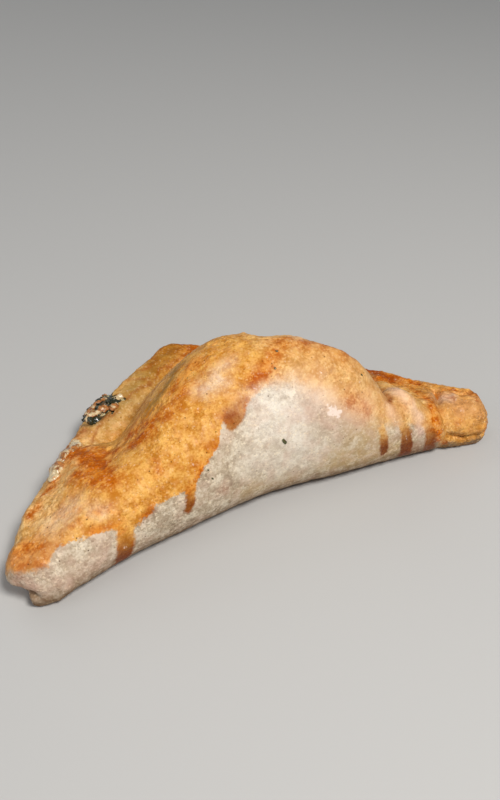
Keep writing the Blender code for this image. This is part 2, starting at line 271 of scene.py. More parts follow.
# %% [markdown]
# The upper side is one height for each place in plan. Near the seams it is a flat pressed margin, then a
# groove, and behind that the pocket puffs up to the ridge. Creases, ledges and lumps are added to it.

# %% Height of the upper side


def seam_distance(xy):
    """Distance in plan to the two seams, rounded off where it changes from one to the other."""
    corner = len(SEAM_LINE) // 2
    right, _ = nearest_on(SEAM_LINE[:corner], xy)
    left, _ = nearest_on(SEAM_LINE[corner:], xy)
    return -CORNER_SOFTNESS * np.log(np.exp(-right / CORNER_SOFTNESS) + np.exp(-left / CORNER_SOFTNESS))


def crown(xy):
    """Height of the upper side: pressed margin, groove, puffed pocket, creases and lumps."""
    x, y = xy[:, 0], xy[:, 1]
    ridge = curve_through(RIDGE, 200)
    peak = np.interp(x, ridge[:, 0], ridge[:, 1]) - BACK_FALL * np.clip(y - RIDGE_Y, 0, None) ** 2
    seam = seam_distance(xy)
    shoulders = ease(x, *MARGIN_LEFT) * ease(-x, *MARGIN_RIGHT)
    margin = MARGIN * shoulders
    puff = 1 - (1 - np.clip((seam - margin) / PUFF_REACH, 0, 1)) ** 2
    slab = np.minimum(SEAM_HEIGHT, peak)
    height = slab + (peak - slab) * puff
    height -= GROOVE_DEPTH * shoulders * np.exp(-((seam - margin + 1) / GROOVE_WIDTH) ** 2)
    for depth, half_width, path in SOFT_CREASES + CRACKLE:
        away, _ = nearest_on(curve_through(path, 24), xy)
        height -= depth * np.exp(-((away / half_width) ** 2))
    for tall, ledge_reach, path in LEDGES:
        away, nearest = nearest_on(curve_through(path, 40), xy)
        outwards = seam_distance(nearest) - seam + LEDGE_WANDER * rough(xy, LEDGE_WAVE, 5.0)
        fades = np.exp(-((away / ledge_reach) ** 2))
        height += tall * (ease(outwards, -LEDGE_EDGE, LEDGE_EDGE) - LEDGE_SINK) * fades
    for size, tall, seed in LUMPS:
        height += tall * rough(xy, size, seed)
    return height


print("ridge", round(float(crown(np.array([(20.0, RIDGE_Y)]))[0]), 1), "mm high")

# %% [markdown]
# ## The skin
# Each column of the loft has three stretches: the upper side, the rounded rim with the split between the
# two layers of dough, and the flat base. The rim is a quarter of an ellipse above the widest line and
# another below it, and the split is a narrow dent between them.

# %% Columns
ALONG, ROUND_END = 310, 48
TOP_ROWS, RIM_ROWS, UNDER_ROWS, BASE_ROWS = 84, 18, 14, 10
SPLIT_ANGLE, ROUNDING_LIMIT = 9.0, 0.85
CROWDED_ABOVE, CROWDED_BELOW = 0.8, 1.3


def rim_columns():
    """Points round the rim, the ridge point that each one faces, and how far its two layers are pressed."""
    front = curve_through(FOLD, ALONG + 1)
    back = curve_through(SEAMS, ALONG + 1)
    right = curve_through((FOLD[-1],) + RIGHT_END + (SEAMS[0],), ROUND_END + 1)[1:-1]
    left = curve_through((SEAMS[-1],) + LEFT_END + (FOLD[0],), ROUND_END + 1)[1:-1]
    share = np.linspace(-1, 1, ALONG + 1)
    (left_x, left_y), (right_x, right_y) = SPINE
    spine_x = np.interp(share, (-1, 1), (left_x, right_x))
    end_y = np.interp(share, (-1, 1), (left_y, right_y))
    spine = np.column_stack([spine_x, end_y + (SPINE_BACK - end_y) * (1 - np.abs(share) ** SPINE_CURVE)])
    facing = np.vstack([
        spine, np.repeat(spine[-1:], len(right), axis=0),
        spine[::-1], np.repeat(spine[:1], len(left), axis=0),
    ])
    rim = np.vstack([front, right, back, left])
    ends = np.maximum(ease(-rim[:, 0], *SPLIT_LEFT), ease(rim[:, 0], *SPLIT_RIGHT))
    pressed = np.where(rim[:, 1] < SPINE_BACK / 2, ends, 1)
    return rim, facing, pressed


rim, facing, pressed = rim_columns()
print(len(rim), "columns, of which", int((pressed > 0.5).sum()), "end at a pressed seam")

# %% Rings from the ridge to the base


def skin_rows():
    """Rings of points from the ridge over the top, round the rim and under to the base."""
    reach = np.linalg.norm(facing - rim[:, :2], axis=1)
    inwards = (facing - rim[:, :2]) / reach[:, None]
    widest = rim[:, 2]
    above = np.minimum(rim[:, 3], ROUNDING_LIMIT * reach)
    below = np.minimum(rim[:, 4], ROUNDING_LIMIT * reach)
    from_lip = np.linalg.norm(rim[:, :2] - LIP_AT, axis=1)
    overhang = LIP_OVERHANG * (1 - ease(from_lip, *LIP_REACH))
    from_pinch = np.linalg.norm(rim[:, :2] - PINCH_AT, axis=1)
    pinch = PINCH_DEPTH * np.exp(-((from_pinch / PINCH_WIDTH) ** 2))
    upper_lip = pinch + pressed * SEAM_WANDER * rough(rim, SEAM_WAVE, 3.0)
    lower_lip = pinch + pressed * SEAM_WANDER * rough(rim, SEAM_WAVE, 5.0)
    split = pressed * (SPLIT_DEPTH + SPLIT_VARIES * rough(rim, SEAM_WAVE, 9.0))

    def place(inset):
        return rim[:, :2] + inwards * inset[:, None]

    rows = []
    for share in np.linspace(0, 1, TOP_ROWS, endpoint=False):
        xy = place(reach + (above - reach) * share)
        rows.append(np.column_stack([xy, crown(xy)]))
    bend = np.linspace(0, 1, RIM_ROWS, endpoint=False)
    for turn in math.pi / 2 * (1 - bend**CROWDED_ABOVE):
        dent = split * math.exp(-((math.degrees(turn) / SPLIT_ANGLE) ** 2))
        xy = place(above * (1 - math.cos(turn)) + upper_lip * math.cos(turn) + dent)
        rows.append(np.column_stack([xy, widest + (crown(xy) - widest) * math.sin(turn)]))
    bend = np.linspace(0, 1, UNDER_ROWS)
    for turn in math.pi / 2 * bend**CROWDED_BELOW:
        dent = split * math.exp(-((math.degrees(turn) / SPLIT_ANGLE) ** 2))
        xy = place(overhang + below * (1 - math.cos(turn)) + lower_lip * math.cos(turn) + dent)
        rows.append(np.column_stack([xy, widest * (1 - math.sin(turn))]))
    edge = below + overhang
    for share in np.linspace(0, 1, BASE_ROWS + 1)[1:]:
        xy = place(edge + (reach - edge) * share)
        rows.append(np.column_stack([xy, np.zeros(len(xy))]))
    return np.array(rows)


rows = skin_rows()
print(len(rows), "rings of", len(rows[0]), "points")

# %% [markdown]
# The rings are sewn into one closed mesh. Where columns meet at the ends of the ridge, points all but
# touch, and joining them leaves folded slivers. They could be deleted by hand. `mend` finds them instead,
# as the places where an edge hasn't exactly two faces, takes them out and fills the gap.

# %% Sewing the rings together
JOINED_WITHIN, TOUCHING, MOST_ROUNDS = 0.02, 0.004, 16


def mend(bm):
    """Takes out the few folded slivers where points all but touch, and fills each gap with plain faces."""
    for _ in range(MOST_ROUNDS):
        bmesh.ops.remove_doubles(bm, verts=bm.verts, dist=TOUCHING * MM)
        bad = [edge for edge in bm.edges if len(edge.link_faces) != 2]
        many_sided = [face for face in bm.faces if len(face.verts) > 4]
        if not bad and not many_sided:
            break
        if not bad:
            bmesh.ops.triangulate(bm, faces=many_sided)
            continue
        round_bad = {face for edge in bad for point in edge.verts for face in point.link_faces}
        bmesh.ops.delete(bm, geom=list(round_bad), context="FACES")
        bmesh.ops.delete(bm, geom=[edge for edge in bm.edges if not edge.link_faces], context="EDGES")
        bmesh.ops.delete(bm, geom=[point for point in bm.verts if not point.link_faces], context="VERTS")
        bmesh.ops.holes_fill(bm, edges=[edge for edge in bm.edges if len(edge.link_faces) == 1])
    print("mended, open edges left:", sum(len(edge.link_faces) != 2 for edge in bm.edges))


def shape_from(bm, name, material=None):
    """A smooth mesh object from a finished bmesh, with its faces turned outwards."""
    bmesh.ops.recalc_face_normals(bm, faces=bm.faces)
    mesh = bpy.data.meshes.new(name)
    bm.to_mesh(mesh)
    bm.free()
    if material:
        mesh.materials.append(material)
    mesh.shade_smooth()
    return bpy.data.objects.new(name, mesh)


def skinned(name, rows):
    """A closed mesh object from rings of points in millimetres: faces between the rings, ends sewn up."""
    bm = bmesh.new()
    rings = [[bm.verts.new(Vector(point) * MM) for point in row] for row in rows]
    for upper, lower in zip(rings, rings[1:]):
        for i, corner in enumerate(upper):
            bm.faces.new((upper[i - 1], lower[i - 1], lower[i], corner))
    bmesh.ops.remove_doubles(bm, verts=bm.verts, dist=JOINED_WITHIN * MM)
    ends = bmesh.ops.holes_fill(bm, edges=bm.edges)["faces"]
    bmesh.ops.poke(bm, faces=ends)
    mend(bm)
    return link(shape_from(bm, name))


low, high = rows.reshape(-1, 3).min(axis=0), rows.reshape(-1, 3).max(axis=0)
box_middle = (np.array(cad_box[0]) + np.array(cad_box[1])) / 2 / MM
SHIFT = np.array([box_middle[0] - (low[0] + high[0]) / 2, box_middle[1] - (low[1] + high[1]) / 2, 0])
crust = skinned("turnover_crust", rows + SHIFT)
print("crust skin:", len(crust.data.polygons), "faces, shift", SHIFT.round(2), "mm")

# %% [markdown]
# ## The burst in the seam
# Steam has forced the left seam open, and the filling has pushed out and browned there. The hole could
# be modelled by hand, but the CAD filling already lies where it should, so a swollen copy of it cuts the
# skin with a Boolean. Round the mouth the copy is cut finer and roughened first, which tears the dough.

# %% Copying and reworking meshes
LOOSE_WITHIN = 0.003


def node_copy(name, node):
    """A plain copy of a CAD node's mesh with its loose triangles joined."""
    bm = bmesh.new()
    bm.from_mesh(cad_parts[node].data)
    bmesh.ops.remove_doubles(bm, verts=bm.verts, dist=LOOSE_WITHIN * MM)
    mesh = bpy.data.meshes.new(name)
    bm.to_mesh(mesh)
    bm.free()
    return link(bpy.data.objects.new(name, mesh))


def read(mesh, what):
    """Three numbers for each point of a mesh: where it is in metres, or the way it faces."""
    found = np.empty(len(mesh.vertices) * 3, np.float32)
    mesh.vertices.foreach_get(what, found)
    return found.reshape(-1, 3)


def positions(mesh):
    """A mesh's points in millimetres, in the frame that the outline above is drawn in."""
    return read(mesh, "co").astype(float) / MM - SHIFT


def place_points(mesh, places):
    mesh.vertices.foreach_set("co", ((places + SHIFT) * MM).astype(np.float32).ravel())
    mesh.update()


def rework(mesh, change):
    """Opens a mesh, lets a function change it, and writes it back."""
    bm = bmesh.new()
    bm.from_mesh(mesh)
    change(bm)
    bm.to_mesh(mesh)
    bm.free()


def rough3(places, size, seed=0.0):
    """Smooth noise between about -1 and 1 in space, with bumps of the given size."""
    moved = places / size + seed
    return np.array([noise.noise(Vector(place)) for place in moved])


def evaluated(thing):
    """The object's mesh as its modifiers leave it, as plain data, with the modifiers removed."""
    bpy.context.view_layer.update()
    shaped = bpy.data.meshes.new_from_object(thing.evaluated_get(bpy.context.evaluated_depsgraph_get()))
    thing.modifiers.clear()
    thing.data = shaped


print("skin within", np.ptp(positions(crust.data), axis=0).round(1), "mm")

# %% The mouth
MOUTH, MOUTH_REACH, FINER = np.array((-38.8, 62.8, 10.6)), 13.0, 3
TEAR_SWELL, TEAR_RAGGED, TEAR_SIZE = 0.5, 1.0, 2.4


def refine(bm):
    """Splits the edges near the mouth, so that finer relief fits there."""
    middle = Vector(MOUTH + SHIFT) * MM
    near = [e for e in bm.edges if min((v.co - middle).length for v in e.verts) < MOUTH_REACH * MM]
    bmesh.ops.subdivide_edges(bm, edges=near, cuts=FINER, use_grid_fill=True)
    bmesh.ops.triangulate(bm, faces=bm.faces)


def rough_filling(name, swell, ragged, size, seed, sink=0.0):
    """A copy of the CAD filling, swollen evenly, and cut finer and roughened round the mouth."""
    piece = node_copy(name, "filling")
    rework(piece.data, refine)
    at = positions(piece.data)
    near = np.exp(-((np.linalg.norm(at - MOUTH, axis=1) / MOUTH_REACH) ** 2))
    raised = swell + ragged * near * (rough3(at, size, seed) - sink)
    place_points(piece.data, at + read(piece.data, "normal") * raised[:, None])
    return piece


tear = rough_filling("tear", TEAR_SWELL, TEAR_RAGGED, TEAR_SIZE, 4.0)
cut = crust.modifiers.new("cut", "BOOLEAN")
cut.operation, cut.solver, cut.object = "DIFFERENCE", "EXACT", tear
evaluated(crust)
bpy.data.objects.remove(tear)
rework(crust.data, mend)
print("crust with its mouth:", len(crust.data.polygons), "faces")

# %% [markdown]
# ## Where the colours lie
# A baker's brush leaves egg on the top and the back, stops short of the near side and lets a few drips
# run. Painted textures could show that. Here each effect is a number kept at every point of the mesh,
# worked out from its place: how far it lies above the border of the egg, inside a drip, near a toasted
# patch. The material turns the numbers into colour and adds fine noise, so the borders stay sharp.

# %% Border of the egg: x, y, z, and how softly it ends there
EGG_BORDER = (
    (-95, 3, 11, 3), (-85.6, 1.5, 13.2, 3), (-81.1, -2.6, 14.7, 3), (-76.1, -3.9, 15.2, 2.5),
    (-74.2, -1.4, 17.1, 1.5), (-71.5, 0, 18.1, 1), (-66.5, -0.4, 18.6, 1), (-62.2, -1, 18.5, 1),
    (-58.7, -0.9, 18.6, 1), (-55.8, -1.3, 18.4, 1), (-49.1, -2.2, 16.9, 1), (-46.5, -1.7, 18.1, 1),
    (-42.9, -1.2, 19.7, 1), (-40.6, -0.8, 21.4, 1), (-35.9, -0.2, 22.4, 1), (-32.6, -0.2, 22.7, 1),
    (-29, -0.8, 20.9, 1), (-26.7, 0.2, 24.3, 1), (-24, 1.4, 27.2, 1), (-21.9, 2.2, 28.9, 1),
    (-20.2, 3, 30.4, 1), (-17.5, 4.2, 32.5, 1), (-14.6, 7.3, 36.9, 1), (-12.3, 8.3, 38.4, 1),
    (-7.9, 8.4, 38.8, 1.2), (-4.4, 9.9, 40.3, 1.5), (-1.5, 10.8, 41.5, 2.2), (4, 11.5, 44, 4),
    (12, 9, 41, 9), (20, 4, 35, 14), (28, 1, 29, 16), (36, -1, 24, 12), (42, -1, 21, 6),
    (46, -0.8, 20, 4), (49, -1, 18.5, 3), (52, -1.5, 18, 3), (55, -2, 16, 3), (58, -3, 11, 3),
    (63, -3.5, 7, 3), (67, -4.5, 5, 3), (75, -5, 3, 2), (90, -3, 2, 2),
)
print("the egg's border has", len(EGG_BORDER), "points")

# %% [markdown]
# An oven browns what stands out or lies thin. Each brown or pale patch on the top could be left to noise,
# but a baker would notice the difference, because patches follow the folds. So each is a soft stroke along
# a short path, and noise only roughens its edge.

# %% Toasted and ruddy strokes, as strength, radius and path; some are painted shade


def lines(strength, radius, creases):
    """The same stroke along the path of each crease or ledge."""
    return tuple((strength, radius, path) for _, _, path in creases)


SPLIT_INSET = 1.4 / 45
SPLIT_LINE = SEAM_LINE[:, :3] + SPLIT_INSET * (np.array([0, SPINE_BACK, 0]) - SEAM_LINE[:, :3]) * (1, 1, 0)
DABS = {}
DABS["toast"] = (
    (1, 5.2, ((-53, 35, 18.5), (-51.6, 30.4, 21.3), (-50.2, 22, 23.1))),
    (1, 4, ((-52.6, 20, 23.8), (-52, 15.1, 25.6), (-50.9, 11, 27))),
    (0.7, 3, ((-58.5, 22, 22.4), (-54.5, 14.5, 25.3))),
    (0.75, 2.4, ((-47, 31, 22.5), (-44, 24, 25))),
    (1, 2.8, ((-39, 20.5, 30.2), (-36.7, 18.8, 32), (-33.5, 18.6, 34))),
    (0.55, 3.5, ((-32.3, 22.8, 33.9), (-28.6, 19, 37.4), (-24.7, 20, 39.2))),
    (0.7, 3, ((-38.5, 27.4, 26.5), (-35, 25, 30.5), (-31.2, 21.5, 35.3))),
    (0.75, 2.2, ((-63, 27.5, 17.6), (-67, 24, 17.8))),
    (0.7, 2.4, ((-29.1, 18.2, 37.2), (-26.7, 20, 38.5), (-23.3, 21.5, 40.2), (-20, 23.5, 42))),
    (0.55, 2.4, ((-24, 27, 39.5), (-17, 29, 43), (-11.3, 31, 45.3))),
    (0.6, 2.6, ((-81.6, 5.3, 15.6), (-78.3, 5, 16.3), (-76.2, 2.5, 17.4))),
    (0.7, 1.8, ((-75, 17.5, 16), (-71, 19.5, 17.2))),
    (0.75, 2.4, ((10.9, 19.8, 48.7), (7.1, 16.4, 47.3), (3.4, 14.7, 45.8), (-1.1, 14.2, 44.5))),
    (0.85, 1.8, ((-25, 1.9, 28), (-24.6, 1.2, 26.6))),
    (0.6, 1.3, ((-26.5, 0.7, 25.3), (-28.5, 0.3, 23.6))),
    (0.45, 3, ((28, 2, 34.8), (30.4, 0.6, 31.7), (33.2, -0.3, 28.7))),
    (0.55, 2.6, ((66.1, 23.7, 14.6), (65.5, 17, 16), (65.3, 11, 17.3), (65.5, 7, 17.5))),
    (0.9, 1.2, ((71.5, 12, 13.5), (66.5, 3.5, 13.5), (65.6, -1, 9), (65.6, -3.6, 4))),
    (0.8, 1.6, ((63.9, 1.3, 17.7), (61.4, -2.6, 15.4), (61.6, -4.2, 9.1))),
    (0.75, 0.8, ((76, 11.5, 14.6), (79.3, 8.6, 15.7), (82, 5, 15.6), (84.5, 1.5, 14))),
    (0.7, 2, ((84.5, 3, 13), (86, 0, 8), (84.8, -2.8, 3.6))),
    (0.8, 5, ((-8, 78.5, 14.6), (-2.6, 79.8, 15), (2, 78.6, 14.9), (5, 74.5, 15))),
    (0.4, 4, ((-12, 71, 14.6), (-5, 74, 14.8))),
    (0.8, 1.6, ((0.5, 14.8, 45.3), (3.4, 15.8, 46), (6.7, 17.4, 47.6))),
    # Painted shade: the valley behind the dome lies in shade.
    (0.95, 3.2, ((58.8, 36.4, 13.5), (60.2, 31.4, 14.2), (62.5, 28.2, 13.7), (57, 26, 16.5))),
    (0.9, 2.4, ((66.3, 27.2, 14), (68.5, 24, 13.5), (69.8, 19.7, 14.2))),
    (0.8, 1.6, ((63.9, 13.7, 16.8), (65.6, 10.2, 17.4), (64.7, 5, 18.3), (61.6, -0.6, 17.8),
                (59.7, -3.3, 14.7))),
    (0.4, 3, ((-82.5, 1, 15), (-77, -1.5, 16.2))),
    (0.6, 2.6, ((24, 63, 15), (34, 54.5, 15), (45, 45.5, 15))),
    (0.6, 3.5, ((10, 46, 44), (20, 42, 45), (30, 36, 43))),
    (0.5, 4, ((12, 24, 49), (24, 20, 47.5), (33, 14, 43.5))),
    (0.5, 3, ((-10, 52, 34), (4, 56, 34), (16, 52, 36))),
)
# Along the ledges these lines are painted shade at the steps; along the crackle they are reddish browning.
DABS["ruddy"] = lines(0.55, 0.6, LEDGES) + lines(0.6, 0.45, CRACKLE) + (
    (0.8, 1.8, ((-49.8, 48.4, 14), (-47.4, 50, 14.2))),
    # Painted shade in the valley behind the dome.
    (0.9, 3, ((57.5, 34.5), (59.5, 30.5), (62.5, 27))),
    (0.85, 2.4, ((-11, 8.6, 38.8), (-9.4, 9.2, 39.5), (-8, 9.8, 40.1))),
    (0.75, 2, ((-7.6, 9.8, 40.2), (-4.9, 11.1, 41.2))),
    (0.35, 2, ((-5.4, 11, 41.2), (-1.4, 12.9, 43.4))),
    (0.6, 1.2, ((-43.6, -1, 20.1), (-41.4, -1.1, 20.2))),
    (0.6, 1.8, ((-52.6, 33.5, 19.7), (-51, 27, 22), (-50.4, 23, 23))),
    (0.5, 0.9, ((-36.9, 19, 31.7), (-35.6, 18.6, 32.6))),
    (0.5, 1.2, ((54.5, 15, 21), (50.5, 11, 19.5))),
    (0.3, 0.7, ((67.5, 11, 16.8), (65, 4, 17.8), (62.5, -1.5, 16.5))),
    # Painted shade in the pit at the foot of the crease, and on the next stroke along the crease itself.
    (1, 1.2, ((44.6, 4), (45.6, 4.8), (46.8, 6.2))),
    (0.75, 0.9, ((55.5, 29), (52, 23), (50, 18), (48, 12), (46.6, 7.5))),
    # Painted shade under the upper lip at the left tip.
    (0.5, 1.8, ((-85.4, -0.4, 11.2), (-83.3, -1.6, 12.5))),
    (0.4, 1.6, ((-18.5, -0.7, 17.8), (-17, -0.7, 17.2))),
    (0.3, 3, ((53, -3.2, 9), (54.5, -3, 6))),
    # Painted shade under the upper lip at the left tip.
    (0.3, 1.6, ((-86.5, 0.4, 10.8), (-84.6, -0.8, 12.4), (-82, -1.8, 13.6))),
    (0.45, 0.8, ((-4.5, 82.8, 13.8), (0.8, 80.8, 13.8))),
)
print("toasted:", len(DABS["toast"]), "ruddy:", len(DABS["ruddy"]))

# %% [markdown]
# Pale strokes come next. Flour left on the dough bakes milky, thin egg over it looks pink or tan, and the
# near side turns straw-coloured towards the tray. One small pool of egg dried glossy. Some pale strokes are
# painted highlights: the whitish spot on that pool, the lit crest of the pleat and the lit edges of the end
# block.

# %% Pale strokes, some of them painted highlights
DABS["milk"] = (
    (0.95, 4.5, ((1.8, 7.2, 38.2), (6.1, 5.2, 36.6), (10.2, 3.2, 33.4))),
    (0.8, 6.5, ((-2, 4.4, 34.5), (6.4, 2.3, 30.5), (9, 1, 25))),
    (0.5, 7, ((-6, 1.4, 25), (2, 0.2, 20), (14, -0.5, 20))),
    (0.75, 4, ((-3, 9.5, 40), (5, 10, 42), (13, 8, 41), (19, 4.5, 37))),
    (0.8, 2.3, ((-17.4, 19.4, 42.2), (-13.8, 18.9, 43.6), (-9.5, 19.3, 45))),
    (0.5, 2, ((-14.5, 16, 41.8), (-8, 16.4, 44))),
    (0.6, 2.6, ((-10.5, 20.5, 45), (-5, 22.5, 46.5))),
    (0.4, 2.6, ((20, 24, 49), (27, 21, 48))),
    # Painted highlights on the lit edges of the end block, on this stroke and the next.
    (0.6, 1.8, ((72.2, 6.5, 16.2), (75, 7, 16))),
    (0.7, 1, ((84.5, -4, 9), (86.4, -1, 8))),
    (0.4, 2.6, ((-60, 5.5, 22.8), (-56, 3, 23.2))),
    (0.45, 5, ((-70, 8, 18.8), (-64, 9, 21.5))),
)
DABS["pink"] = (
    # Painted highlight on the lit crest of the pleat, over the pink of thin egg.
    (1, 2.6, ((51.5, 12, 25.5), (51.5, 9, 26), (51.3, 5.8, 26.4), (51.6, 2.8, 25.5),
                (53, 0.7, 22.8), (54.3, -1.3, 19.9), (54.5, -3.1, 15.8))),
    # Painted highlight on the lit corner of the end block.
    (0.7, 2.5, ((70.5, 8, 16.2), (72.5, 6, 16))),
    (0.7, 2.5, ((42.5, 1.5, 26.5), (44.5, -1, 22))),
    (0.8, 3, ((-84, -1.5, 9), (-79, -5, 9), (-72, -5.6, 9))),
    (0.5, 4, ((-68, -5, 11), (-58, -4, 11))),
    (0.7, 6, ((16, 4, 37), (24, 1, 31), (32, 0.5, 30))),
)
DABS["tan"] = (
    (0.9, 7, ((70, 7, 16), (74, 0, 15.5), (80, 0, 14.5))),
    (0.45, 8, ((20, 12, 46), (30, 11, 42), (38, 9, 36))),
    (0.7, 4, ((43, 4, 29), (46, 1, 24))),
    (0.9, 5, ((-84, 3, 14), (-79, 0, 16), (-75, 0, 17))),
)
DABS["straw"] = (
    (0.8, 6, ((20, -2, 14), (34, -2.5, 12), (46, -3, 10))),
    (0.6, 7, ((30, -1, 24), (38, -1.5, 18))),
    (0.5, 5, ((-8, -0.5, 12), (6, -0.5, 10))),
)
DABS["gloss"] = (
    # A painted highlight on the pool of egg: whitish colour, as well as its low roughness and coat.
    (1, 2, ((21.3, 1.4, 33.8), (22.4, 1.1, 32.4), (23.6, 0.9, 31.2))),
)
print("pale strokes:", sum(len(DABS[name]) for name in ("milk", "pink", "tan", "straw", "gloss")))

# %% [markdown]
# Last are the dark strokes. The olive ones are painted shade in the grooves, in dents and on the back margin,
# over a faint olive tint of the dough. The burnt ones are browning beside the burst, along the seam and low
# at the right end, and painted shade in the split where the two layers part and in the crease beside the
# dome.

# %% Dark strokes, partly painted shade
# Painted shade: these strokes darken the grooves, the dents and the back margin, which lie in shade, over a
# faint olive tint of the dough.
DABS["olive"] = (
    (0.85, 2.6, ((-29.4, 30, 33.3), (-26.6, 30, 36.2), (-23.3, 31, 38), (-16, 38, 38.5))),
    (0.5, 4.5, ((-32, 47, 14), (-26, 53, 13), (-18, 60, 13.5), (-8, 65, 14))),
    (0.5, 3, ((-44, 38, 18), (-37, 45, 15))),
    (0.8, 6, ((-41, 54, 14.5), (-28, 61, 14.5), (-14, 71, 14.5), (-2, 80, 14.8))),
    # Painted shade in the shallow dent below the glossy spot.
    (0.55, 3, ((22, -1.8, 27), (27, -2, 25))),
    (0.6, 2, ((51, 24, 21.5), (49.5, 15, 19.5))),
    (0.5, 2.5, ((66.5, 14, 16), (68, 6, 15))),
)
DABS["burnt"] = (
    (0.8, 0.9, ((-47.5, 53.5, 13.8), (-44, 51.6, 14.4), (-40, 53.2, 14.4), (-35.5, 56, 14.4))),
    (0.5, 0.9, ((-63, 33, 13), (-58, 39, 13), (-52, 46, 12.5))),
    # Painted shade in the split between the two layers, with browning there.
    (0.55, 1, SPLIT_LINE),
    # Painted shade in the crease beside the dome.
    (0.9, 0.8, ((48.6, 14, 19.5), (47.8, 10, 18.5))),
    (0.8, 0.7, ((75.6, -4.8, 3.9), (79, -5.2, 4))),
    (0.6, 0.6, ((71.6, -4.9, 8), (72.2, -4.9, 7.6))),
    (0.35, 1.6, ((69, -4.6, 3.6), (80, -5, 3.4), (86, 0, 3.6))),
)
print("olive:", len(DABS["olive"]), "burnt:", len(DABS["burnt"]))

# %% [markdown]
# Loose egg runs down the steep near side, thin at first and dark where it gathers. A fluid simulation
# could find the way; a path with a width is enough for six drips.

# %% Drips of egg: width, how dark the lower part is, and path
DRIPS = (
    (5.6, 0.5, ((-8, 9.8, 40.4), (-9.4, 8.4, 38.6), (-11.4, 7.4, 37.2))),
    (6, 0.95, ((-51, -1, 19), (-52.3, -3.2, 12.6), (-53.6, -1.8, 6), (-54.4, -0.8, 2.6))),
    (3, 0.8, ((-29, 0.4, 23.5), (-30.2, -1.5, 17.6), (-31, -1.7, 15.8))),
    (3.2, 0.9, ((39, -1, 22), (40, -2.8, 15.5), (40.4, -2.8, 11))),
    (5.2, 1, ((46.8, 1.5, 24.5), (48, -0.8, 19), (49.4, -2.6, 11), (50.2, -1.5, 5))),
    (4.4, 0.9, ((57.6, 0.5, 19), (58.6, -3.2, 12), (60, -2.1, 5))),
)
print(sum(len(group) for group in DABS.values()), "strokes and", len(DRIPS), "drips")

# %% From strokes to numbers
BORDER_SLOPE = 0.7
FAR_OUTSIDE, DRIP_DARKENS = -9.0, (0.1, 0.75)


def dab_strength(places, dabs):
    """The strongest of several soft strokes at each place. A path of x and y alone lies on the top."""
    strongest = np.zeros(len(places))
    for strength, radius, path in dabs:
        axes = len(path[0])
        away, _ = nearest_on(path if axes == 3 else curve_through(path, 30), places, axes=axes)
        shown = 1 if axes == 3 else ease(places[:, 2], 5, 8)
        strongest = np.maximum(strongest, shown * strength * np.exp(-((away / radius) ** 2)))
    return strongest


def above_border(places):
    """How far each place lies up the dough from the border of the egg, and how soft the border is."""
    x, y, z = places.T
    border = np.array(EGG_BORDER, float)
    side, height, soft = (np.interp(x, border[:, 0], column) for column in border.T[1:])
    return BORDER_SLOPE * ((z - height) + (y - side)), soft


def in_drips(places):
    """Distance inside the nearest drip, less than 0 outside, and how dark the egg is there."""
    inside = np.full(len(places), FAR_OUTSIDE)
    dark = np.zeros(len(places))
    for width, darkness, path in DRIPS:
        away, nearest = nearest_on(path, places, axes=3)
        top, bottom = path[0][2], path[-1][2]
        run = (top - nearest[:, 2]) / (top - bottom)
        here = width / 2 - away
        closer = here > inside
        dark = np.where(closer, darkness * ease(run, *DRIP_DARKENS), dark)
        inside = np.maximum(inside, here)
    return inside, dark


print("on the ridge the egg is", above_border(np.array([(0, 30, 49)]))[0].round(1), "mm past its border")

# %% Numbers at every point
WARP_SIZE, WARP_BY, DRIP_WARP = 3.2, 1.6, 0.35


def keep(mesh, name, values):
    layer = mesh.attributes.new(name, "FLOAT", "POINT")
    layer.data.foreach_set("value", np.asarray(values, np.float32))


def paint(mesh):
    """Keeps on the mesh what the material and the relief need to know of each place."""
    places = positions(mesh)
    warp = np.column_stack([rough3(places, WARP_SIZE, seed) for seed in (11.0, 23.0, 37.0)])
    warped = places + WARP_BY * warp
    reach, soft = above_border(places)
    keep(mesh, "egg_reach", reach)
    keep(mesh, "egg_soft", soft)
    inside, dark = in_drips(places + DRIP_WARP * warp)
    keep(mesh, "drip_reach", inside)
    keep(mesh, "drip_dark", dark)
    for name, dabs in DABS.items():
        keep(mesh, name, dab_strength(warped if name != "burnt" else places, dabs))
    x, y, z = places.T
    # The egg is thick on the left, at the right end and behind, thinner between, thinnest on the left margin.
    thick = 1 - 0.62 * ease(x, -8, 14) + 0.45 * ease(x, 52, 70)
    seam = seam_distance(places)
    left_margin = ease(-seam, -16, -11) * ease(-x, 8, 26)
    thick = np.maximum(thick, 0.9 * ease(y, 30, 50)) * (1 - 0.75 * left_margin)
    keep(mesh, "egg_thick", thick)
    # The grain is weak on the near side below the dome, stronger to the right, and strongest low at the end.
    coarse = 1 - 0.6 * ease(x, -26, -10) * ease(-x, -64, -54) * ease(-z, -44, -30) * ease(-y, -14, -4)
    coarse += 0.9 * ease(x, 68, 75) * ease(-z, -15, -9) + 0.5 * ease(x, 34, 46)
    keep(mesh, "coarse", coarse)
    keep(mesh, "margin", ease(-seam, -18, -10) * ease(z, 4, 9))
    keep(mesh, "under", ease(-z, -2.2, -0.4))
    keep(mesh, "height", z)


paint(crust.data)
print("kept:", [layer.name for layer in crust.data.attributes if not layer.name.startswith(".")])

# %% [markdown]
# ## Helpers for node trees
# A tree of nodes reads like a recipe when each node is made with its settings and inputs in one call, and
# when what a node puts out is added and multiplied as numbers are. `Value` holds a node's output: each
# sign between two of them adds a Math node to the tree they belong to.

# %% Node helpers


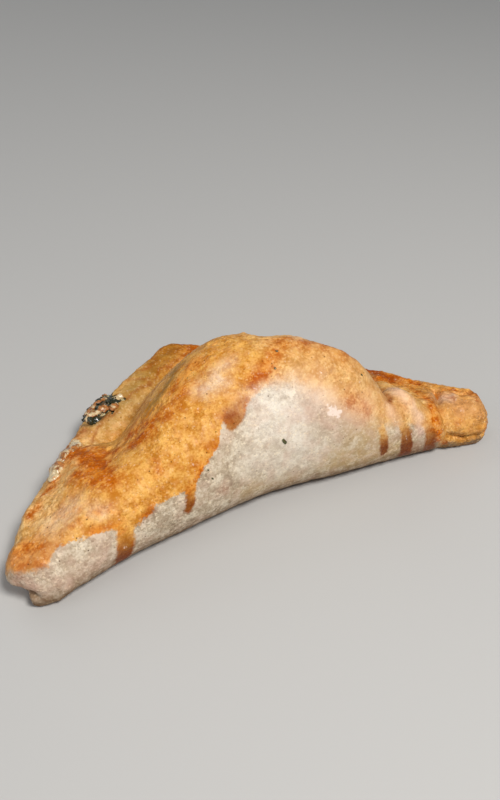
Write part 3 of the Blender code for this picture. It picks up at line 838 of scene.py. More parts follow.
def add(tree, kind, inputs=None, gives=None, **settings):
    """A new node with its settings and inputs. It gives back the named output, or else the node."""
    node = tree.nodes.new(kind)
    for key, value in settings.items():
        setattr(node, key, value)
    for name, value in (inputs or {}).items():
        if isinstance(value, Value):
            tree.links.new(value.socket, node.inputs[name])
        else:
            node.inputs[name].default_value = value
    return node if gives is None else Value(node.outputs[gives])


def calc(operation, *values, clamp=False):
    """A Math node on numbers and values. At least one of them is a value, which names the tree."""
    tree = next(value.tree for value in values if isinstance(value, Value))
    return add(tree, "ShaderNodeMath", dict(enumerate(values)), 0, operation=operation, use_clamp=clamp)


class Value:
    """A node's output that can be added, subtracted, multiplied and divided."""

    def __init__(self, socket):
        self.socket, self.tree = socket, socket.id_data

    def __add__(self, other):
        return calc("ADD", self, other)

    def __sub__(self, other):
        return calc("SUBTRACT", self, other)

    def __rsub__(self, other):
        return calc("SUBTRACT", other, self)

    def __mul__(self, other):
        return calc("MULTIPLY", self, other)

    def __truediv__(self, other):
        return calc("DIVIDE", self, other)

    def __rtruediv__(self, other):
        return calc("DIVIDE", other, self)

    __radd__, __rmul__ = __add__, __mul__


print("nodes can be added, and what they put out can be reckoned with")

# %% Recipes that come back


def vector_calc(operation, vector, inputs):
    return add(vector.tree, "ShaderNodeVectorMath", {0: vector, **inputs}, 0, operation=operation)


def spread(value, low, high, to_low=0.0, to_high=1.0):
    """Stretches a value from one range to another, smoothly, and holds it at the ends."""
    inputs = {"Value": value, "From Min": low, "From Max": high, "To Min": to_low, "To Max": to_high}
    return add(value.tree, "ShaderNodeMapRange", inputs, "Result", interpolation_type="SMOOTHSTEP")


def wavy(vector, size, detail=2.0, roughness=0.5):
    """Noise with bumps of the given size, in the units of the vector."""
    inputs = {"Vector": vector, "Scale": 1 / size, "Detail": detail, "Roughness": roughness}
    return add(vector.tree, "ShaderNodeTexNoise", inputs, "Fac")


def cells(vector, size):
    """Cells of the given size: the distance to each one's middle, and its three random numbers."""
    tree = vector.tree
    node = add(tree, "ShaderNodeTexVoronoi", {"Vector": vector, "Scale": 1 / size, "Randomness": 1.0})
    splitter = {"GEOMETRY": "FunctionNodeSeparateColor", "SHADER": "ShaderNodeSeparateColor"}[tree.type]
    numbers = add(tree, splitter, {0: Value(node.outputs["Color"])}).outputs
    return Value(node.outputs["Distance"]), [Value(number) for number in numbers]


def feed(inputs, **values):
    """Links values to a node's inputs. An underscore stands for a space in the input's name."""
    for name, value in values.items():
        value.tree.links.new(value.socket, inputs[name.replace("_", " ")])


print("recipes:", [recipe.__name__ for recipe in (spread, wavy, cells)])

# %% Groups and their inputs


def group_tree(name, kind, inputs, outputs):
    """An empty node group with named inputs, as (socket type, name, default), and outputs."""
    tree = bpy.data.node_groups.new(name, kind)
    for socket_type, label, *default in inputs:
        socket = tree.interface.new_socket(label, in_out="INPUT", socket_type=socket_type)
        if default:
            socket.default_value = default[0]
    for socket_type, label in outputs:
        tree.interface.new_socket(label, in_out="OUTPUT", socket_type=socket_type)
    given = {socket.name: Value(socket) for socket in add(tree, "NodeGroupInput").outputs if socket.name}
    return tree, given, add(tree, "NodeGroupOutput").inputs


def set_inputs(modifier, **values):
    """Sets a Geometry Nodes modifier's inputs by their names."""
    for item in modifier.node_group.interface.items_tree:
        if item.item_type == "SOCKET" and item.in_out == "INPUT" and item.name in values:
            modifier[item.identifier] = values[item.name]


FLOAT, VECTOR, GEOMETRY = "NodeSocketFloat", "NodeSocketVector", "NodeSocketGeometry"
print("groups with named inputs can be made")

# %% [markdown]
# ## Relief of the dough
# Baked dough is never smooth: it's grainy, wrinkled where it was stretched over the filling, blistered
# under the egg, and pitted where bubbles broke. A displacement modifier could push one texture in. A
# Geometry Nodes tree can add several kinds, each where it belongs, so it does the work here.

# %% The relief tree


def relief_tree():
    tree, given, result = group_tree(
        "baked dough relief", "GeometryNodeTree",
        [(GEOMETRY, "Geometry"), (FLOAT, "Grain Height", 0.1), (FLOAT, "Grain Size", 1.4),
         (FLOAT, "Lump Height", 0.2), (FLOAT, "Wrinkle Height", 0.15), (FLOAT, "Blister Height", 0.3),
         (FLOAT, "Pore Depth", 0.3), (FLOAT, "Flake Height", 0.4)],
        [(GEOMETRY, "Geometry")])

    def kept(name):
        return add(tree, "GeometryNodeInputNamedAttribute", {"Name": name}, "Attribute")

    place = vector_calc("SCALE", add(tree, "GeometryNodeInputPosition", gives=0), {"Scale": 1 / MM})
    washed = spread(kept("egg_reach") / kept("egg_soft"), -0.7, 0.7)
    bare = 1.0 - washed

    grain = wavy(place, given["Grain Size"], 2.0, 0.6) - 0.5
    lumps = wavy(place, 4.5, 1.0) - 0.5
    stretched = vector_calc("MULTIPLY", place, {1: (0.45, 1.0, 1.0)})
    wrinkles = wavy(stretched, 1.7, 2.0, 0.55) - 0.5
    from_middle, chances = cells(place, 4.0)
    blisters = spread(from_middle, 0.42, 0.0) * spread(chances[0], 0.66, 0.9)
    from_middle, chances = cells(place, 2.6)
    pores = spread(from_middle, 0.3, 0.08) * spread(chances[1], 0.8, 0.9)
    layered = vector_calc("MULTIPLY", place, {1: (1.0, 1.0, 2.5)})
    flakes = wavy(layered, 3.2, 3.0, 0.65) - 0.5

    height = grain * kept("coarse") * given["Grain Height"]
    height = height + lumps * given["Lump Height"]
    height = height + wrinkles * spread(bare, 0.0, 1.0, 0.45, 1.0) * given["Wrinkle Height"]
    height = height + blisters * spread(washed, 0.0, 1.0, 0.25, 1.0) * given["Blister Height"]
    height = height + flakes * kept("margin") * given["Flake Height"]
    height = height - pores * given["Pore Depth"]
    height = height * (1.0 - kept("under")) * MM
    outwards = add(tree, "GeometryNodeInputNormal", gives=0)
    offset = vector_calc("SCALE", outwards, {"Scale": height})
    feed(result, Geometry=add(
        tree, "GeometryNodeSetPosition", {"Geometry": given["Geometry"], "Offset": offset}, 0))
    return tree


relief = crust.modifiers.new("relief", "NODES")
relief.node_group = relief_tree()
set_inputs(relief, **{
    "Grain Height": 0.7, "Grain Size": 1.5, "Lump Height": 0.8, "Wrinkle Height": 0.15,
    "Blister Height": 0.4, "Pore Depth": 0.35, "Flake Height": 1.3,
})
evaluated(crust)
print("relief done:", len(crust.data.vertices), "points")

# %% Back inside the CAD box


def fit_box(thing):
    """Draws the piece in evenly until no side stands out of the CAD box."""
    found = read(thing.data, "co")
    room = np.abs(np.array(cad_box)).max(axis=0)
    found *= np.minimum(1, room / np.abs(found).max(axis=0))
    found[:, 2] = np.maximum(found[:, 2], 0)
    thing.data.vertices.foreach_set("co", found.ravel())
    thing.data.update()


fit_box(crust)
print("crust within", np.ptp(positions(crust.data), axis=0).round(2), "mm")

# %% [markdown]
# ## The colour of baked dough
# Bare dough is greyish cream with faint pink. Under egg it turns gold, and where the egg is thick or the
# oven hot it goes orange-brown. The two are mixed by the egg's reach, which is made jagged with noise.
# Shared effects are node groups, so that the spinach and the cheese can use them too.

# %% Colours


def srgb(red, green, blue):
    """A colour as a paint chart gives it, from 0 to 255, turned into linear light."""
    parts = [value / 255 for value in (red, green, blue)]
    linear = [p / 12.92 if p <= 0.04045 else ((p + 0.055) / 1.055) ** 2.4 for p in parts]
    return (*linear, 1.0)


def mix(share, first, second):
    """The first colour where the share is 0, the second where it is 1."""
    return add(share.tree, "ShaderNodeMix", {0: share, 6: first, 7: second}, 2, data_type="RGBA")


print("gold in linear light:", [round(part, 3) for part in srgb(230, 174, 90)])

# %% [markdown]
# Three effects come back in several finishes: cloudy mottling, small specks and sandy grain. Each is
# built once as a shader group and then placed in a material with its own size.

# %% Mottle, specks and grain


def mottle_group():
    """Two sizes of cloudy noise together, spread to use the whole range from 0 to 1."""
    tree, given, result = group_tree(
        "mottle", "ShaderNodeTree",
        [(VECTOR, "Vector"), (FLOAT, "Size", 3.0), (FLOAT, "Fineness", 0.5)], [(FLOAT, "Mottle")])
    broad = wavy(given["Vector"], given["Size"], 3.0, 0.6)
    fine = wavy(given["Vector"], given["Size"] * 0.22, 2.0, 0.6)
    both = add(tree, "ShaderNodeMix", {0: given["Fineness"], 2: broad, 3: fine}, 0)
    feed(result, Mottle=spread(both, 0.32, 0.68))
    return tree


def specks_group():
    """Small round spots, of which only a share shows."""
    tree, given, result = group_tree(
        "specks", "ShaderNodeTree",
        [(VECTOR, "Vector"), (FLOAT, "Spacing", 2.0), (FLOAT, "Radius", 0.25), (FLOAT, "Share", 0.3)],
        [(FLOAT, "Specks")])
    from_middle, chances = cells(given["Vector"], given["Spacing"])
    shown = calc("LESS_THAN", chances[0], given["Share"])
    spot = add(tree, "ShaderNodeMapRange", {
        "Value": from_middle, "From Min": given["Radius"], "From Max": given["Radius"] * 0.4}, "Result")
    feed(result, Specks=spot * shown)
    return tree


def grain_group():
    """Close-set grains like coarse sand: a random tone and a low dome for each."""
    tree, given, result = group_tree(
        "grain", "ShaderNodeTree", [(VECTOR, "Vector"), (FLOAT, "Size", 1.0), (FLOAT, "Uneven", 0.6)],
        [(FLOAT, "Tone"), (FLOAT, "Dome")])
    place, size = given["Vector"], given["Size"]
    shaken = add(tree, "ShaderNodeTexNoise", {"Vector": place, "Scale": 0.9 / size, "Detail": 1.0}, "Color")
    offset = vector_calc("SUBTRACT", shaken, {1: (0.5, 0.5, 0.5)})
    offset = vector_calc("SCALE", offset, {"Scale": given["Uneven"] * (size * 2.0)})
    from_middle, chances = cells(vector_calc("ADD", place, {1: offset}), size)
    feed(result, Tone=chances[0], Dome=spread(from_middle, 0.75, 0.05))
    return tree


MOTTLE, SPECKS, GRAIN = mottle_group(), specks_group(), grain_group()
print("groups:", [group.name for group in bpy.data.node_groups])

# %% Placing groups in a material


def new_material(name, **constants):
    """A material, its shader's inputs, the place in millimetres, and a function that reads kept numbers."""
    material = bpy.data.materials.new(name)
    material.use_nodes = True
    tree = material.node_tree
    inputs = tree.nodes["Principled BSDF"].inputs
    for label, value in constants.items():
        inputs[label.replace("_", " ")].default_value = value
    place = vector_calc("SCALE", add(tree, "ShaderNodeTexCoord", gives="Object"), {"Scale": 1 / MM})

    def kept(label):
        return add(tree, "ShaderNodeAttribute", gives="Fac", attribute_name=label)

    return material, inputs, place, kept


def mottle(place, size, fineness=0.5):
    inputs = {"Vector": place, "Size": size, "Fineness": fineness}
    return add(place.tree, "ShaderNodeGroup", inputs, 0, node_tree=MOTTLE)


def specks(place, spacing, radius, share):
    inputs = {"Vector": place, "Spacing": spacing, "Radius": radius, "Share": share}
    return add(place.tree, "ShaderNodeGroup", inputs, 0, node_tree=SPECKS)


def grains(place, size, uneven):
    inputs = {"Vector": place, "Size": size, "Uneven": uneven}
    outputs = add(place.tree, "ShaderNodeGroup", inputs, node_tree=GRAIN).outputs
    return Value(outputs["Tone"]), Value(outputs["Dome"])


def bump(height, distance):
    """The normal that a height in the texture gives, as deep as the distance in millimetres."""
    return add(height.tree, "ShaderNodeBump", {"Height": height, "Distance": distance * MM}, 0)


print("materials so far:", [material.name for material in bpy.data.materials])

# %% [markdown]
# The palette was mixed to look right under this light. The material lays it on in the order in
# which a baker would: bare dough, egg, what the oven did to the egg, drips, and then the small things.

# %% Palette
BARE_DARK, BARE_MID, BARE_LIGHT = srgb(162, 140, 116), srgb(190, 172, 147), srgb(218, 204, 182)
BARE_PINK, LOW_BROWN_AND_SHADE, MILK_AND_HIGHLIGHT = srgb(202, 166, 146), srgb(122, 88, 54), srgb(240, 231, 218)
STRAW, PAINTED_GLOSS_HIGHLIGHT, TAN_DEEP = srgb(198, 164, 106), srgb(246, 226, 212), srgb(198, 140, 88)
TAN, TAN_LIGHT, TAN_PEACH = srgb(202, 146, 72), srgb(233, 192, 128), srgb(226, 170, 112)
GOLD, GOLD_LIGHT, GOLD_PEACH = srgb(196, 124, 32), srgb(230, 174, 90), srgb(222, 158, 92)
PINK_EGG_AND_HIGHLIGHT = srgb(238, 198, 168)
TOAST, TOAST_LIGHT, RUDDY_AND_SHADE = srgb(178, 84, 0), srgb(212, 120, 10), srgb(140, 58, 6)
DRIP, DRIP_DARK, BASE_BROWN = srgb(164, 84, 0), srgb(110, 44, 0), srgb(150, 94, 44)
OLIVE_AND_SHADE, BURNT_AND_SHADE, PORE = srgb(142, 106, 38), srgb(48, 28, 16), srgb(96, 56, 24)
GLINT = srgb(252, 230, 190)
print("bare, egg and toast:", BARE_MID[:3], GOLD[:3], TOAST[:3])

# %% Noise in the dough
dough, skin, place, kept = new_material("baked_dough_skin", Specular_IOR_Level=0.09, Coat_Roughness=0.22)
broad, middling, fine = mottle(place, 7.0, 0.3), mottle(place, 3.4, 0.35), mottle(place, 1.3, 0.6)
tone, dome = grains(place, 1.25, 0.7)
small_tone, small_dome = grains(place, 0.7, 0.6)
sandy = tone * 0.55 + small_tone * 0.45
warm = spread(wavy(place, 5.0), 0.42, 0.66)
print("nodes so far:", len(place.tree.nodes))

# %% Bare dough, darker near the base: browning from the tray and painted shade
soft_tone = middling * 0.5 + sandy * 0.5
bare = mix(spread(soft_tone, 0.0, 0.55), BARE_DARK, BARE_MID)
bare = mix(spread(soft_tone, 0.4, 0.8) * 0.8, bare, BARE_LIGHT)
bare = mix(kept("straw") * spread(middling, 0.0, 1.0, 0.9, 0.4), bare, STRAW)
# Milky strokes: flour baked milky, and painted highlights on the end block's lit edges.
milky_and_highlight = kept("milk") * spread(fine, 0.0, 1.0, 0.5, 0.95)
bare = mix(milky_and_highlight, bare, MILK_AND_HIGHLIGHT)
# Pink strokes: the faint pink of dough under thin egg, and painted highlights on the pleat's crest and the
# end block's corner.
bare = mix(calc("ADD", kept("pink") * 0.7, warm * 0.3, clamp=True), bare, BARE_PINK)
# Painted shade with browning from the tray: the bare dough darkens towards the base.
bare = mix(spread(kept("height") + middling * 3.0, 13.5, 3.0, 0.0, 0.85), bare, LOW_BROWN_AND_SHADE)
print("nodes so far:", len(place.tree.nodes))

# %% Egg: thin or thick, then milky, tan or pink, then toasted; some milky and pink strokes are painted highlights, some toasted and olive ones painted shade
thick = spread(kept("egg_thick") + (broad - 0.5) * 0.5, 0.15, 0.95)
lightness = spread(sandy * 0.22 + middling * 0.8, 0.1, 0.95)
peach = spread(wavy(place, 2.2), 0.45, 0.65) * 0.4
thin_egg = mix(peach, mix(lightness, TAN, TAN_LIGHT), TAN_PEACH)
full_egg = mix(peach, mix(lightness, GOLD, GOLD_LIGHT), GOLD_PEACH)
washed = mix(thick, thin_egg, full_egg)
washed = mix(milky_and_highlight * 0.75, washed, MILK_AND_HIGHLIGHT)
washed = mix(kept("tan") * 0.8, washed, TAN_DEEP)
# Pink strokes: thin egg's pink, and painted highlights on the pleat's crest and the end block's corner.
washed = mix(kept("pink") * 0.75, washed, PINK_EGG_AND_HIGHLIGHT)
# The toasted mask also carries painted shade in the valley behind the dome.
baked = kept("toast") * spread(middling, 0.1, 0.9, 1.7, 0.9)
stray = spread(wavy(place, 8.0, 3.0, 0.6), 0.54, 0.7) * (thick * 0.5)
pooled = spread(kept("egg_reach"), 4.0, 0.8) * spread(kept("egg_soft"), 2.0, 1.2)
pooled = pooled * spread(wavy(place, 6.0, 3.0, 0.6), 0.46, 0.62, 0.0, 0.75)
toasted_and_shaded = calc("MAXIMUM", calc("MAXIMUM", baked, pooled), stray, clamp=True)
washed = mix(toasted_and_shaded, washed, mix(lightness, TOAST, TOAST_LIGHT))
# Painted shade: the olive strokes darken grooves, dents and the back margin.
washed = mix(kept("olive") * 0.8, washed, OLIVE_AND_SHADE)
print("nodes so far:", len(place.tree.nodes))

# %% Egg and drips over the bare dough


def jagged(reach, broad, fine, soft):
    """1 where reach is above 0, with a border made uneven by two sizes of noise."""
    uneven = (wavy(place, 3.2) - 0.5) * broad
    grainy = (wavy(place, 0.9) - 0.5) * fine
    return spread((reach + (uneven + grainy)) / soft, -1.0, 1.0)


egg = jagged(kept("egg_reach"), 3.2, 2.2, kept("egg_soft") * 0.45)
drip = jagged(kept("drip_reach"), 2.0, 1.2, 0.6)
covered = calc("MAXIMUM", egg, drip)
deep = kept("drip_dark") * spread(fine, 0.0, 1.0, 1.15, 0.8)
running = mix(calc("MULTIPLY", deep, 0.7, clamp=True), washed, DRIP)
colour = mix(drip, mix(egg, bare, washed), mix(deep * 0.9, running, DRIP_DARK))
print("nodes so far:", len(place.tree.nodes))

# %% Small things: burnt edges and painted shade, sandy tone, glints, pores and the glossy spot with its painted highlight
colour = mix(kept("under") * 0.85, colour, mix(middling, LOW_BROWN_AND_SHADE, BASE_BROWN))
# Ruddy strokes: reddish browning, and painted shade at the ledge steps, the crease, the valley and under the
# lip.
colour = mix(kept("ruddy") * spread(fine, 0.0, 1.0, 1.0, 0.7), colour, RUDDY_AND_SHADE)
# Burnt strokes: browning, and painted shade in the split and in the crease beside the dome.
colour = mix(kept("burnt"), colour, BURNT_AND_SHADE)
patchy = spread(wavy(place, 9.0), 0.4, 0.62, 0.3, 1.0) * kept("coarse")
shade = 1.0 + ((sandy - 0.5) * 0.24 + (middling - 0.5) * 0.16) * patchy
colour = add(place.tree, "ShaderNodeHueSaturation", {"Color": colour, "Value": shade}, 0)
glints = spread(small_tone, 0.82, 0.86) * small_dome * (1.0 - drip * 0.8)
colour = mix(glints * spread(covered, 0.0, 1.0, 0.34, 0.2), colour, GLINT)
pores, dots = specks(place, 2.2, 0.13, 0.3), specks(place, 1.3, 0.2, 0.22)
colour = mix(calc("MAXIMUM", pores * 0.8, dots * 0.4), colour, PORE)
# Painted highlight: the glossy pool is whitened, besides its real low roughness and coat.
gloss = jagged(kept("gloss") - 0.5, 0.9, 1.5, 0.2)
colour = mix(gloss * 0.85, colour, PAINTED_GLOSS_HIGHLIGHT)

roughness = spread(covered, 0.0, 1.0, 0.7, 0.45) - calc("MAXIMUM", glints, gloss) * 0.2
glaze = calc("ADD", covered * (patchy * 0.07), gloss * 0.5, clamp=True)
sand = (dome * 0.5 + small_dome * 0.3) * patchy + wavy(place, 0.8, 3.0, 0.6) * 0.7
sand = sand - (pores * 0.8 + dots * 0.3)
feed(skin, Base_Color=colour, Roughness=roughness, Coat_Weight=glaze, Normal=bump(sand, 0.24))
crust.data.materials.append(dough)
print("dough:", len(place.tree.nodes), "nodes")

# %% [markdown]
# ## The filling
# Only the strand in the burst shows. It could be left as the CAD solid, but spinach and cheese are
# crumbly, so the CAD filling is copied, cut finer and roughened round the mouth. What lies on it comes
# after.

# %% Filling
FILLING_ROUGH, FILLING_SINK, FILLING_WAVE = 0.7, 0.2, 2.2
filling = rough_filling("spinach_and_cheese_filling", 0.0, FILLING_ROUGH, FILLING_WAVE, 8.0, FILLING_SINK)
filling.data.shade_smooth()


def filling_material():
    material, skin, place, _ = new_material("spinach_and_cheese_mix")
    cheese = spread(mottle(place, 2.4, 0.3), 0.55, 0.75)
    green = mix(mottle(place, 0.9), srgb(12, 17, 12), srgb(42, 50, 30))
    white = mix(mottle(place, 1.2), srgb(150, 116, 62), srgb(206, 196, 150))
    feed(skin, Base_Color=mix(cheese, green, white), Roughness=spread(cheese, 0.0, 1.0, 0.25, 0.45),
         Normal=bump(wavy(place, 0.8), 0.3))
    return material


filling.data.materials.append(filling_material())
print("filling:", len(filling.data.polygons), "faces")

# %% [markdown]
# ## Spinach, bubbles and cheese in the burst
# Cooked spinach is almost black and wet. Melted cheese is cream where it stayed soft and caramel where
# it browned. Both could be textures; noise in the shaders does it at any distance.

# %% Materials of the burst


def spinach_material(name, dark, light):
    material, skin, place, _ = new_material(name, Roughness=0.22, Coat_Weight=0.5, Coat_Roughness=0.12)
    leaf = mix(mottle(place, 0.8), dark, light)
    leaf = mix(spread(wavy(place, 2.2, 1.0), 0.55, 0.7), leaf, srgb(84, 60, 26))
    feed(skin, Base_Color=leaf, Normal=bump(wavy(place, 0.45), 0.12))
    return material


def cheese_material(name, brownness, shine):
    """Melted cheese that browns in clouds and, where the mesh has an edge value, along its edge."""
    material, skin, place, kept = new_material(name, Coat_Weight=shine, Coat_Roughness=0.15)
    cloudy = mottle(place, 1.4, 0.4)
    browned = wavy(place, 1.8, 3.0) + (spread(kept("edge"), 1.0, 1.5, 0.0, 0.2) + brownness)
    browned = spread(browned, 0.44, 0.62)
    cream = mix(cloudy, srgb(198, 166, 112), srgb(232, 216, 180))
    caramel = mix(cloudy, srgb(104, 56, 16), srgb(198, 128, 58))
    feed(skin, Base_Color=mix(browned, cream, caramel), Normal=bump(wavy(place, 0.5), 0.15),
         Roughness=spread(browned, 0.0, 1.0, 0.25, 0.45))
    return material


spinach_skin = spinach_material("spinach_cooked", srgb(12, 16, 10), srgb(50, 56, 30))
herb_skin = spinach_material("herb_dried", srgb(40, 42, 18), srgb(88, 90, 44))
bubble_skin = cheese_material("cheese_browned", 0.05, 0.3)
cheese_skin = cheese_material("cheese_melted", -0.09, 0.7)
print("burst materials:", [m.name for m in (spinach_skin, herb_skin, bubble_skin, cheese_skin)])

# %% [markdown]
# The wet parts run together: glossy masses of spinach, browned bubbles between them, and melted cheese
# that crept along the seam. A fluid could be simulated; rows of uneven lumps, half sunk in what they lie
# on and joined by a voxel remesh, give the same rounded masses.

# %% Rows of lumps, as radius and path
STRIPS = (
    (1.25, ((-38.4, 58.2, 15.5), (-35.5, 59.6, 15.6), (-31, 59.6, 15.2))),
    (1.35, ((-46.6, 51.2, 15), (-43.3, 52.6, 15.6), (-40.2, 53, 15.6), (-37.4, 52.4, 15.4))),
    (1.2, ((-45, 57, 12.5), (-41, 60.5, 13), (-38, 63.6, 9.5), (-36, 66, 6.5))),
    (1.3, ((-44.8, 58.4, 9.5), (-42.4, 60.8, 6.5), (-40, 63.4, 4))),
    (1.1, ((-37, 62.6, 13), (-34.4, 65.8, 11), (-34, 67, 8))),
)
BUBBLES = (
    (1.3, ((-44.6, 54.6, 14.6), (-41, 56, 16), (-37, 56.2, 16.5), (-33, 56.4, 15.8))),
    (1.2, ((-43, 58.2, 13.6), (-39, 60, 14.6), (-34.6, 62.4, 14.2))),
    (1.3, ((-42.6, 61, 10), (-40.6, 62.4, 9.4))), (1.1, ((-38.4, 64, 12.4), (-36, 65.4, 10))),
    (1, ((-46.4, 56.4, 10.5), (-45.4, 58.6, 6.5))), (1, ((-38.6, 64.6, 6), (-36.6, 66, 4))),
    (0.9, ((-33.4, 67, 12.5), (-33.2, 67.6, 10.5))),
)
LEAKS = (
    (2.1, ((-63.5, 29.5, 16.2), (-60.5, 33.3, 16), (-57.5, 36.3, 15.6), (-54.5, 39, 15.4),
           (-51.5, 43, 14.6))),
    (1.5, ((-61, 35, 13.6), (-58.6, 37.6, 13.6), (-55, 40.6, 13.4), (-51.4, 45.4, 13.6))),
    (1.3, ((-58.6, 37.6, 12.6), (-57.8, 38.6, 8.5))), (1.1, ((-55, 40.6, 12.4), (-54.4, 42.2, 8.8))),
    (1.4, ((-30.9, 61, 14.4), (-28.8, 62.6, 14.2))), (1.1, ((-33.6, 56.6, 16.2), (-32.4, 57.6, 16))),
    (0.9, ((-36.4, 62.6, 14.6), (-35.2, 63.6, 14.2))), (1, ((-41.4, 61.8, 5), (-41.8, 61.4, 1.6))),
)
FLECKS = (
    (0.65, ((3.7, 1.4, 28), (4.2, 1.4, 26.9))), (0.42, ((10.4, 19.6, 48.6), (10.7, 19.4, 48.6))),
    (0.33, ((7.2, 14.3, 46.5), (7.3, 14.2, 46.4))), (0.35, ((-21.8, 0.1, 23.8), (-21.6, 0.1, 23.5))),
    (0.35, ((-22.6, 1.1, 26.7), (-22.5, 1.1, 26.6))), (0.38, ((34.8, 6.8, 39.3), (35, 6.7, 39.1))),
    (0.4, ((20, 60, 22), (20.4, 60.4, 21.6))), (0.4, ((-8, 50, 36), (-8.3, 50.4, 35.6))),
)
print(len(STRIPS + BUBBLES + LEAKS), "rows of lumps and", len(FLECKS), "flecks")

# %% Melting a row of lumps together
LUMPS_PER_RADIUS, LUMP_VARIES, LUMP_UNEVEN, LUMP_FLAT = 1.4, 0.4, 0.5, 0.5


def melted(name, trickles, grounds, material, voxel, rise=0.1):
    """Rows of uneven lumps, half sunk in the nearest ground and joined to one melted piece."""
    trees = [BVHTree.FromObject(ground, bpy.context.evaluated_depsgraph_get()) for ground in grounds]
    bm = bmesh.new()
    for radius, path in trickles:
        length = sum((Vector(b) - Vector(a)).length for a, b in zip(path, path[1:]))
        for place in curve_through(path, 2 + int(LUMPS_PER_RADIUS * length / radius)):
            found = [hull.find_nearest(Vector(place + SHIFT) * MM) for hull in trees]
            spot, facing, _, _ = min(found, key=lambda hit: hit[3])
            size = radius * (1 + LUMP_VARIES * noise.noise(Vector(place) * 0.6))
            start = len(bm.verts)
            bmesh.ops.create_icosphere(bm, subdivisions=3, radius=size * MM)
            bm.verts.ensure_lookup_table()
            for vertex in bm.verts[start:]:
                way = vertex.co.normalized()
                swollen = vertex.co * (1 + LUMP_UNEVEN * noise.noise(way * 1.5 + Vector(place)))
                vertex.co = spot + swollen - facing * (swollen.dot(facing) * LUMP_FLAT - rise * size * MM)
    piece = link(shape_from(bm, name, material))
    joined = piece.modifiers.new("join", "REMESH")
    joined.mode, joined.voxel_size, joined.use_smooth_shade = "VOXEL", voxel * MM, True
    softened = piece.modifiers.new("soften", "SMOOTH")
    softened.iterations = 5
    evaluated(piece)
    places = positions(piece.data)
    edge = np.min([nearest_on(path, places, axes=3)[0] / radius for radius, path in trickles], axis=0)
    keep(piece.data, "edge", edge)
    return piece


masses = melted("spinach_masses", STRIPS, [filling], spinach_skin, 0.24)
bubbly = melted("browned_bubbles", BUBBLES, [filling, crust], bubble_skin, 0.22, 0.3)
leak = melted("melted_cheese", LEAKS, [crust, filling], cheese_skin, 0.28)
flecks = melted("herb_flecks", FLECKS, [crust], herb_skin, 0.14)
for piece in (masses, bubbly, leak, flecks):
    print(piece.name, len(piece.data.polygons), "faces")

# %% [markdown]
# Cooked spinach is a heap of limp shreds. Each shred could be cloth; a short ribbon that waves and twists
# is enough at this size. A Geometry Nodes tree lays ribbons on the filling, close to the strips of wet
# spinach, and turns them along the surface.

# %% A limp shred


def ribbon(name, length, width, thick, curl, seed, material):
    """A limp shred: a flat strip that waves and twists along its length."""
    bm = bmesh.new()
    steps, sides = 14, 6
    rings = []
    for i in range(steps + 1):
        t = i / steps - 0.5
        wide = width * (1 - (2 * abs(t)) ** 4 * 0.5) * (1 + 0.25 * math.sin(9 * t + seed))
        lift = curl * (math.sin(5.2 * t + seed) + 0.4 * math.sin(12 * t + 2 * seed)) - 3.2 * curl * t * t
        side = 1.6 * curl * math.sin(4.1 * t + 1.7 * seed)
        twist = 0.6 * math.sin(5.0 * t + 3 * seed)
        ring = []
        for k in range(sides):
            turn = 2 * math.pi * k / sides
            y, z = wide / 2 * math.cos(turn), thick / 2 * math.sin(turn)
            y, z = y * math.cos(twist) - z * math.sin(twist), y * math.sin(twist) + z * math.cos(twist)
            ring.append(bm.verts.new(Vector((t * length, y + side, z + lift)) * MM))
        rings.append(ring)
    for first, second in zip(rings, rings[1:]):
        for k in range(sides):
            bm.faces.new((first[k - 1], first[k], second[k], second[k - 1]))
    bmesh.ops.holes_fill(bm, edges=bm.edges)
    return shape_from(bm, name, material)


shreds = [ribbon(f"shred_{i}", 3.0 + 0.6 * (i % 4), 1.0 + 0.2 * (i % 4), 0.4, 0.3, 1.3 * i, spinach_skin)
          for i in range(7)]
print(len(shreds), "shreds of", len(shreds[0].data.vertices), "points")

# %% Scattering over a surface


def collection_of(name, things):
    group = bpy.data.collections.new(name)
    for thing in things:
        group.objects.link(thing)
    return group


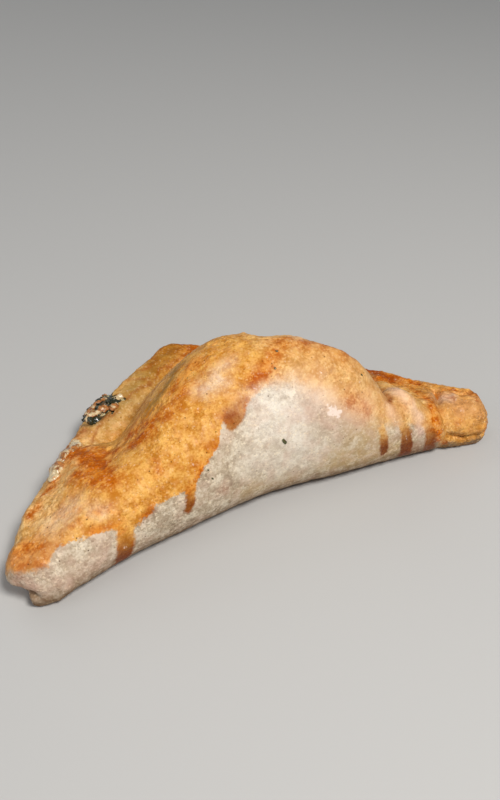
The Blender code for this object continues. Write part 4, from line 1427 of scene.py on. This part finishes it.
def scatter_tree(name, material):
    """Instances of a collection over a surface, denser where an attribute of the surface is high."""
    tree, given, result = group_tree(
        name, "GeometryNodeTree",
        [(GEOMETRY, "Geometry"), ("NodeSocketCollection", "Shapes"),
         (FLOAT, "Density", 1.0), (FLOAT, "Smallest", 0.7), (FLOAT, "Largest", 1.3),
         (FLOAT, "Sink", 0.0), (FLOAT, "Tilt", 0.4), ("NodeSocketInt", "Seed", 1)],
        [(GEOMETRY, "Geometry")])
    shown = add(tree, "GeometryNodeInputNamedAttribute", {"Name": "scatter"}, "Attribute")
    points = add(tree, "GeometryNodeDistributePointsOnFaces", {
        "Mesh": given["Geometry"], "Density": shown * (given["Density"] * (1 / MM**2)),
        "Seed": given["Seed"]}).outputs
    shapes = add(tree, "GeometryNodeCollectionInfo", {
        "Collection": given["Shapes"], "Separate Children": True, "Reset Children": True}, 0)
    tilt = given["Tilt"]
    low = add(tree, "ShaderNodeCombineXYZ", {0: tilt * -1.0, 1: tilt * -1.0, 2: -math.pi}, 0)
    high = add(tree, "ShaderNodeCombineXYZ", {0: tilt, 1: tilt, 2: math.pi}, 0)
    lean = add(tree, "FunctionNodeRandomValue", {0: low, 1: high, "Seed": given["Seed"]}, 0,
               data_type="FLOAT_VECTOR")
    size = add(tree, "FunctionNodeRandomValue", {2: given["Smallest"], 3: given["Largest"]}, 1,
               data_type="FLOAT")
    placed = add(tree, "GeometryNodeInstanceOnPoints", {
        "Points": Value(points["Points"]), "Instance": shapes, "Pick Instance": True,
        "Rotation": Value(points["Rotation"]), "Scale": size}, 0)
    turned = add(tree, "GeometryNodeRotateInstances", {
        "Instances": placed, "Rotation": lean, "Local Space": True}, 0)
    down = add(tree, "ShaderNodeCombineXYZ", {2: given["Sink"] * -MM}, 0)
    sunk = add(tree, "GeometryNodeTranslateInstances", {
        "Instances": turned, "Translation": down, "Local Space": True}, 0)
    real = add(tree, "GeometryNodeRealizeInstances", {0: sunk}, 0)
    feed(result, Geometry=add(tree, "GeometryNodeSetMaterial", {"Geometry": real, "Material": material}, 0))
    return tree


def scattered(name, ground, share, shapes, material, **inputs):
    """Scatters shapes on a copy of the ground and gives back one plain mesh object."""
    piece = link(bpy.data.objects.new(name, ground.data.copy()))
    keep(piece.data, "scatter", share)
    step = piece.modifiers.new("scatter", "NODES")
    step.node_group = scatter_tree(name, material)
    set_inputs(step, Shapes=collection_of(name + "_shapes", shapes), **inputs)
    evaluated(piece)
    if "scatter" in piece.data.attributes:
        piece.data.attributes.remove(piece.data.attributes["scatter"])
    return piece


print("a collection can be scattered over a mesh")

# %% Loose shreds
NEAR_STRIP = 2.2
at = positions(filling.data)
near_strip = np.min([nearest_on(path, at, axes=3)[0] for _, path in STRIPS], axis=0)
spinach = scattered("spinach_shreds", filling, near_strip < NEAR_STRIP, shreds, spinach_skin,
                    Density=0.35, Smallest=0.6, Largest=1.0, Sink=-0.45, Tilt=0.2, Seed=4)
print("spinach:", len(spinach.data.polygons), "faces")

# %% [markdown]
# A turnover has no moving parts, so every piece rides on `root`. The two skins stand for the CAD nodes,
# which stay hidden underneath for physics.

# %% Ride and finish
for piece in (masses, bubbly, leak, flecks, spinach):
    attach(piece, "root")
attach(crust, "root")
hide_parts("crust")
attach(filling, "root")
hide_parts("filling")
print("on root:", [piece.name for piece in (crust, filling, masses, bubbly, leak, flecks, spinach)])
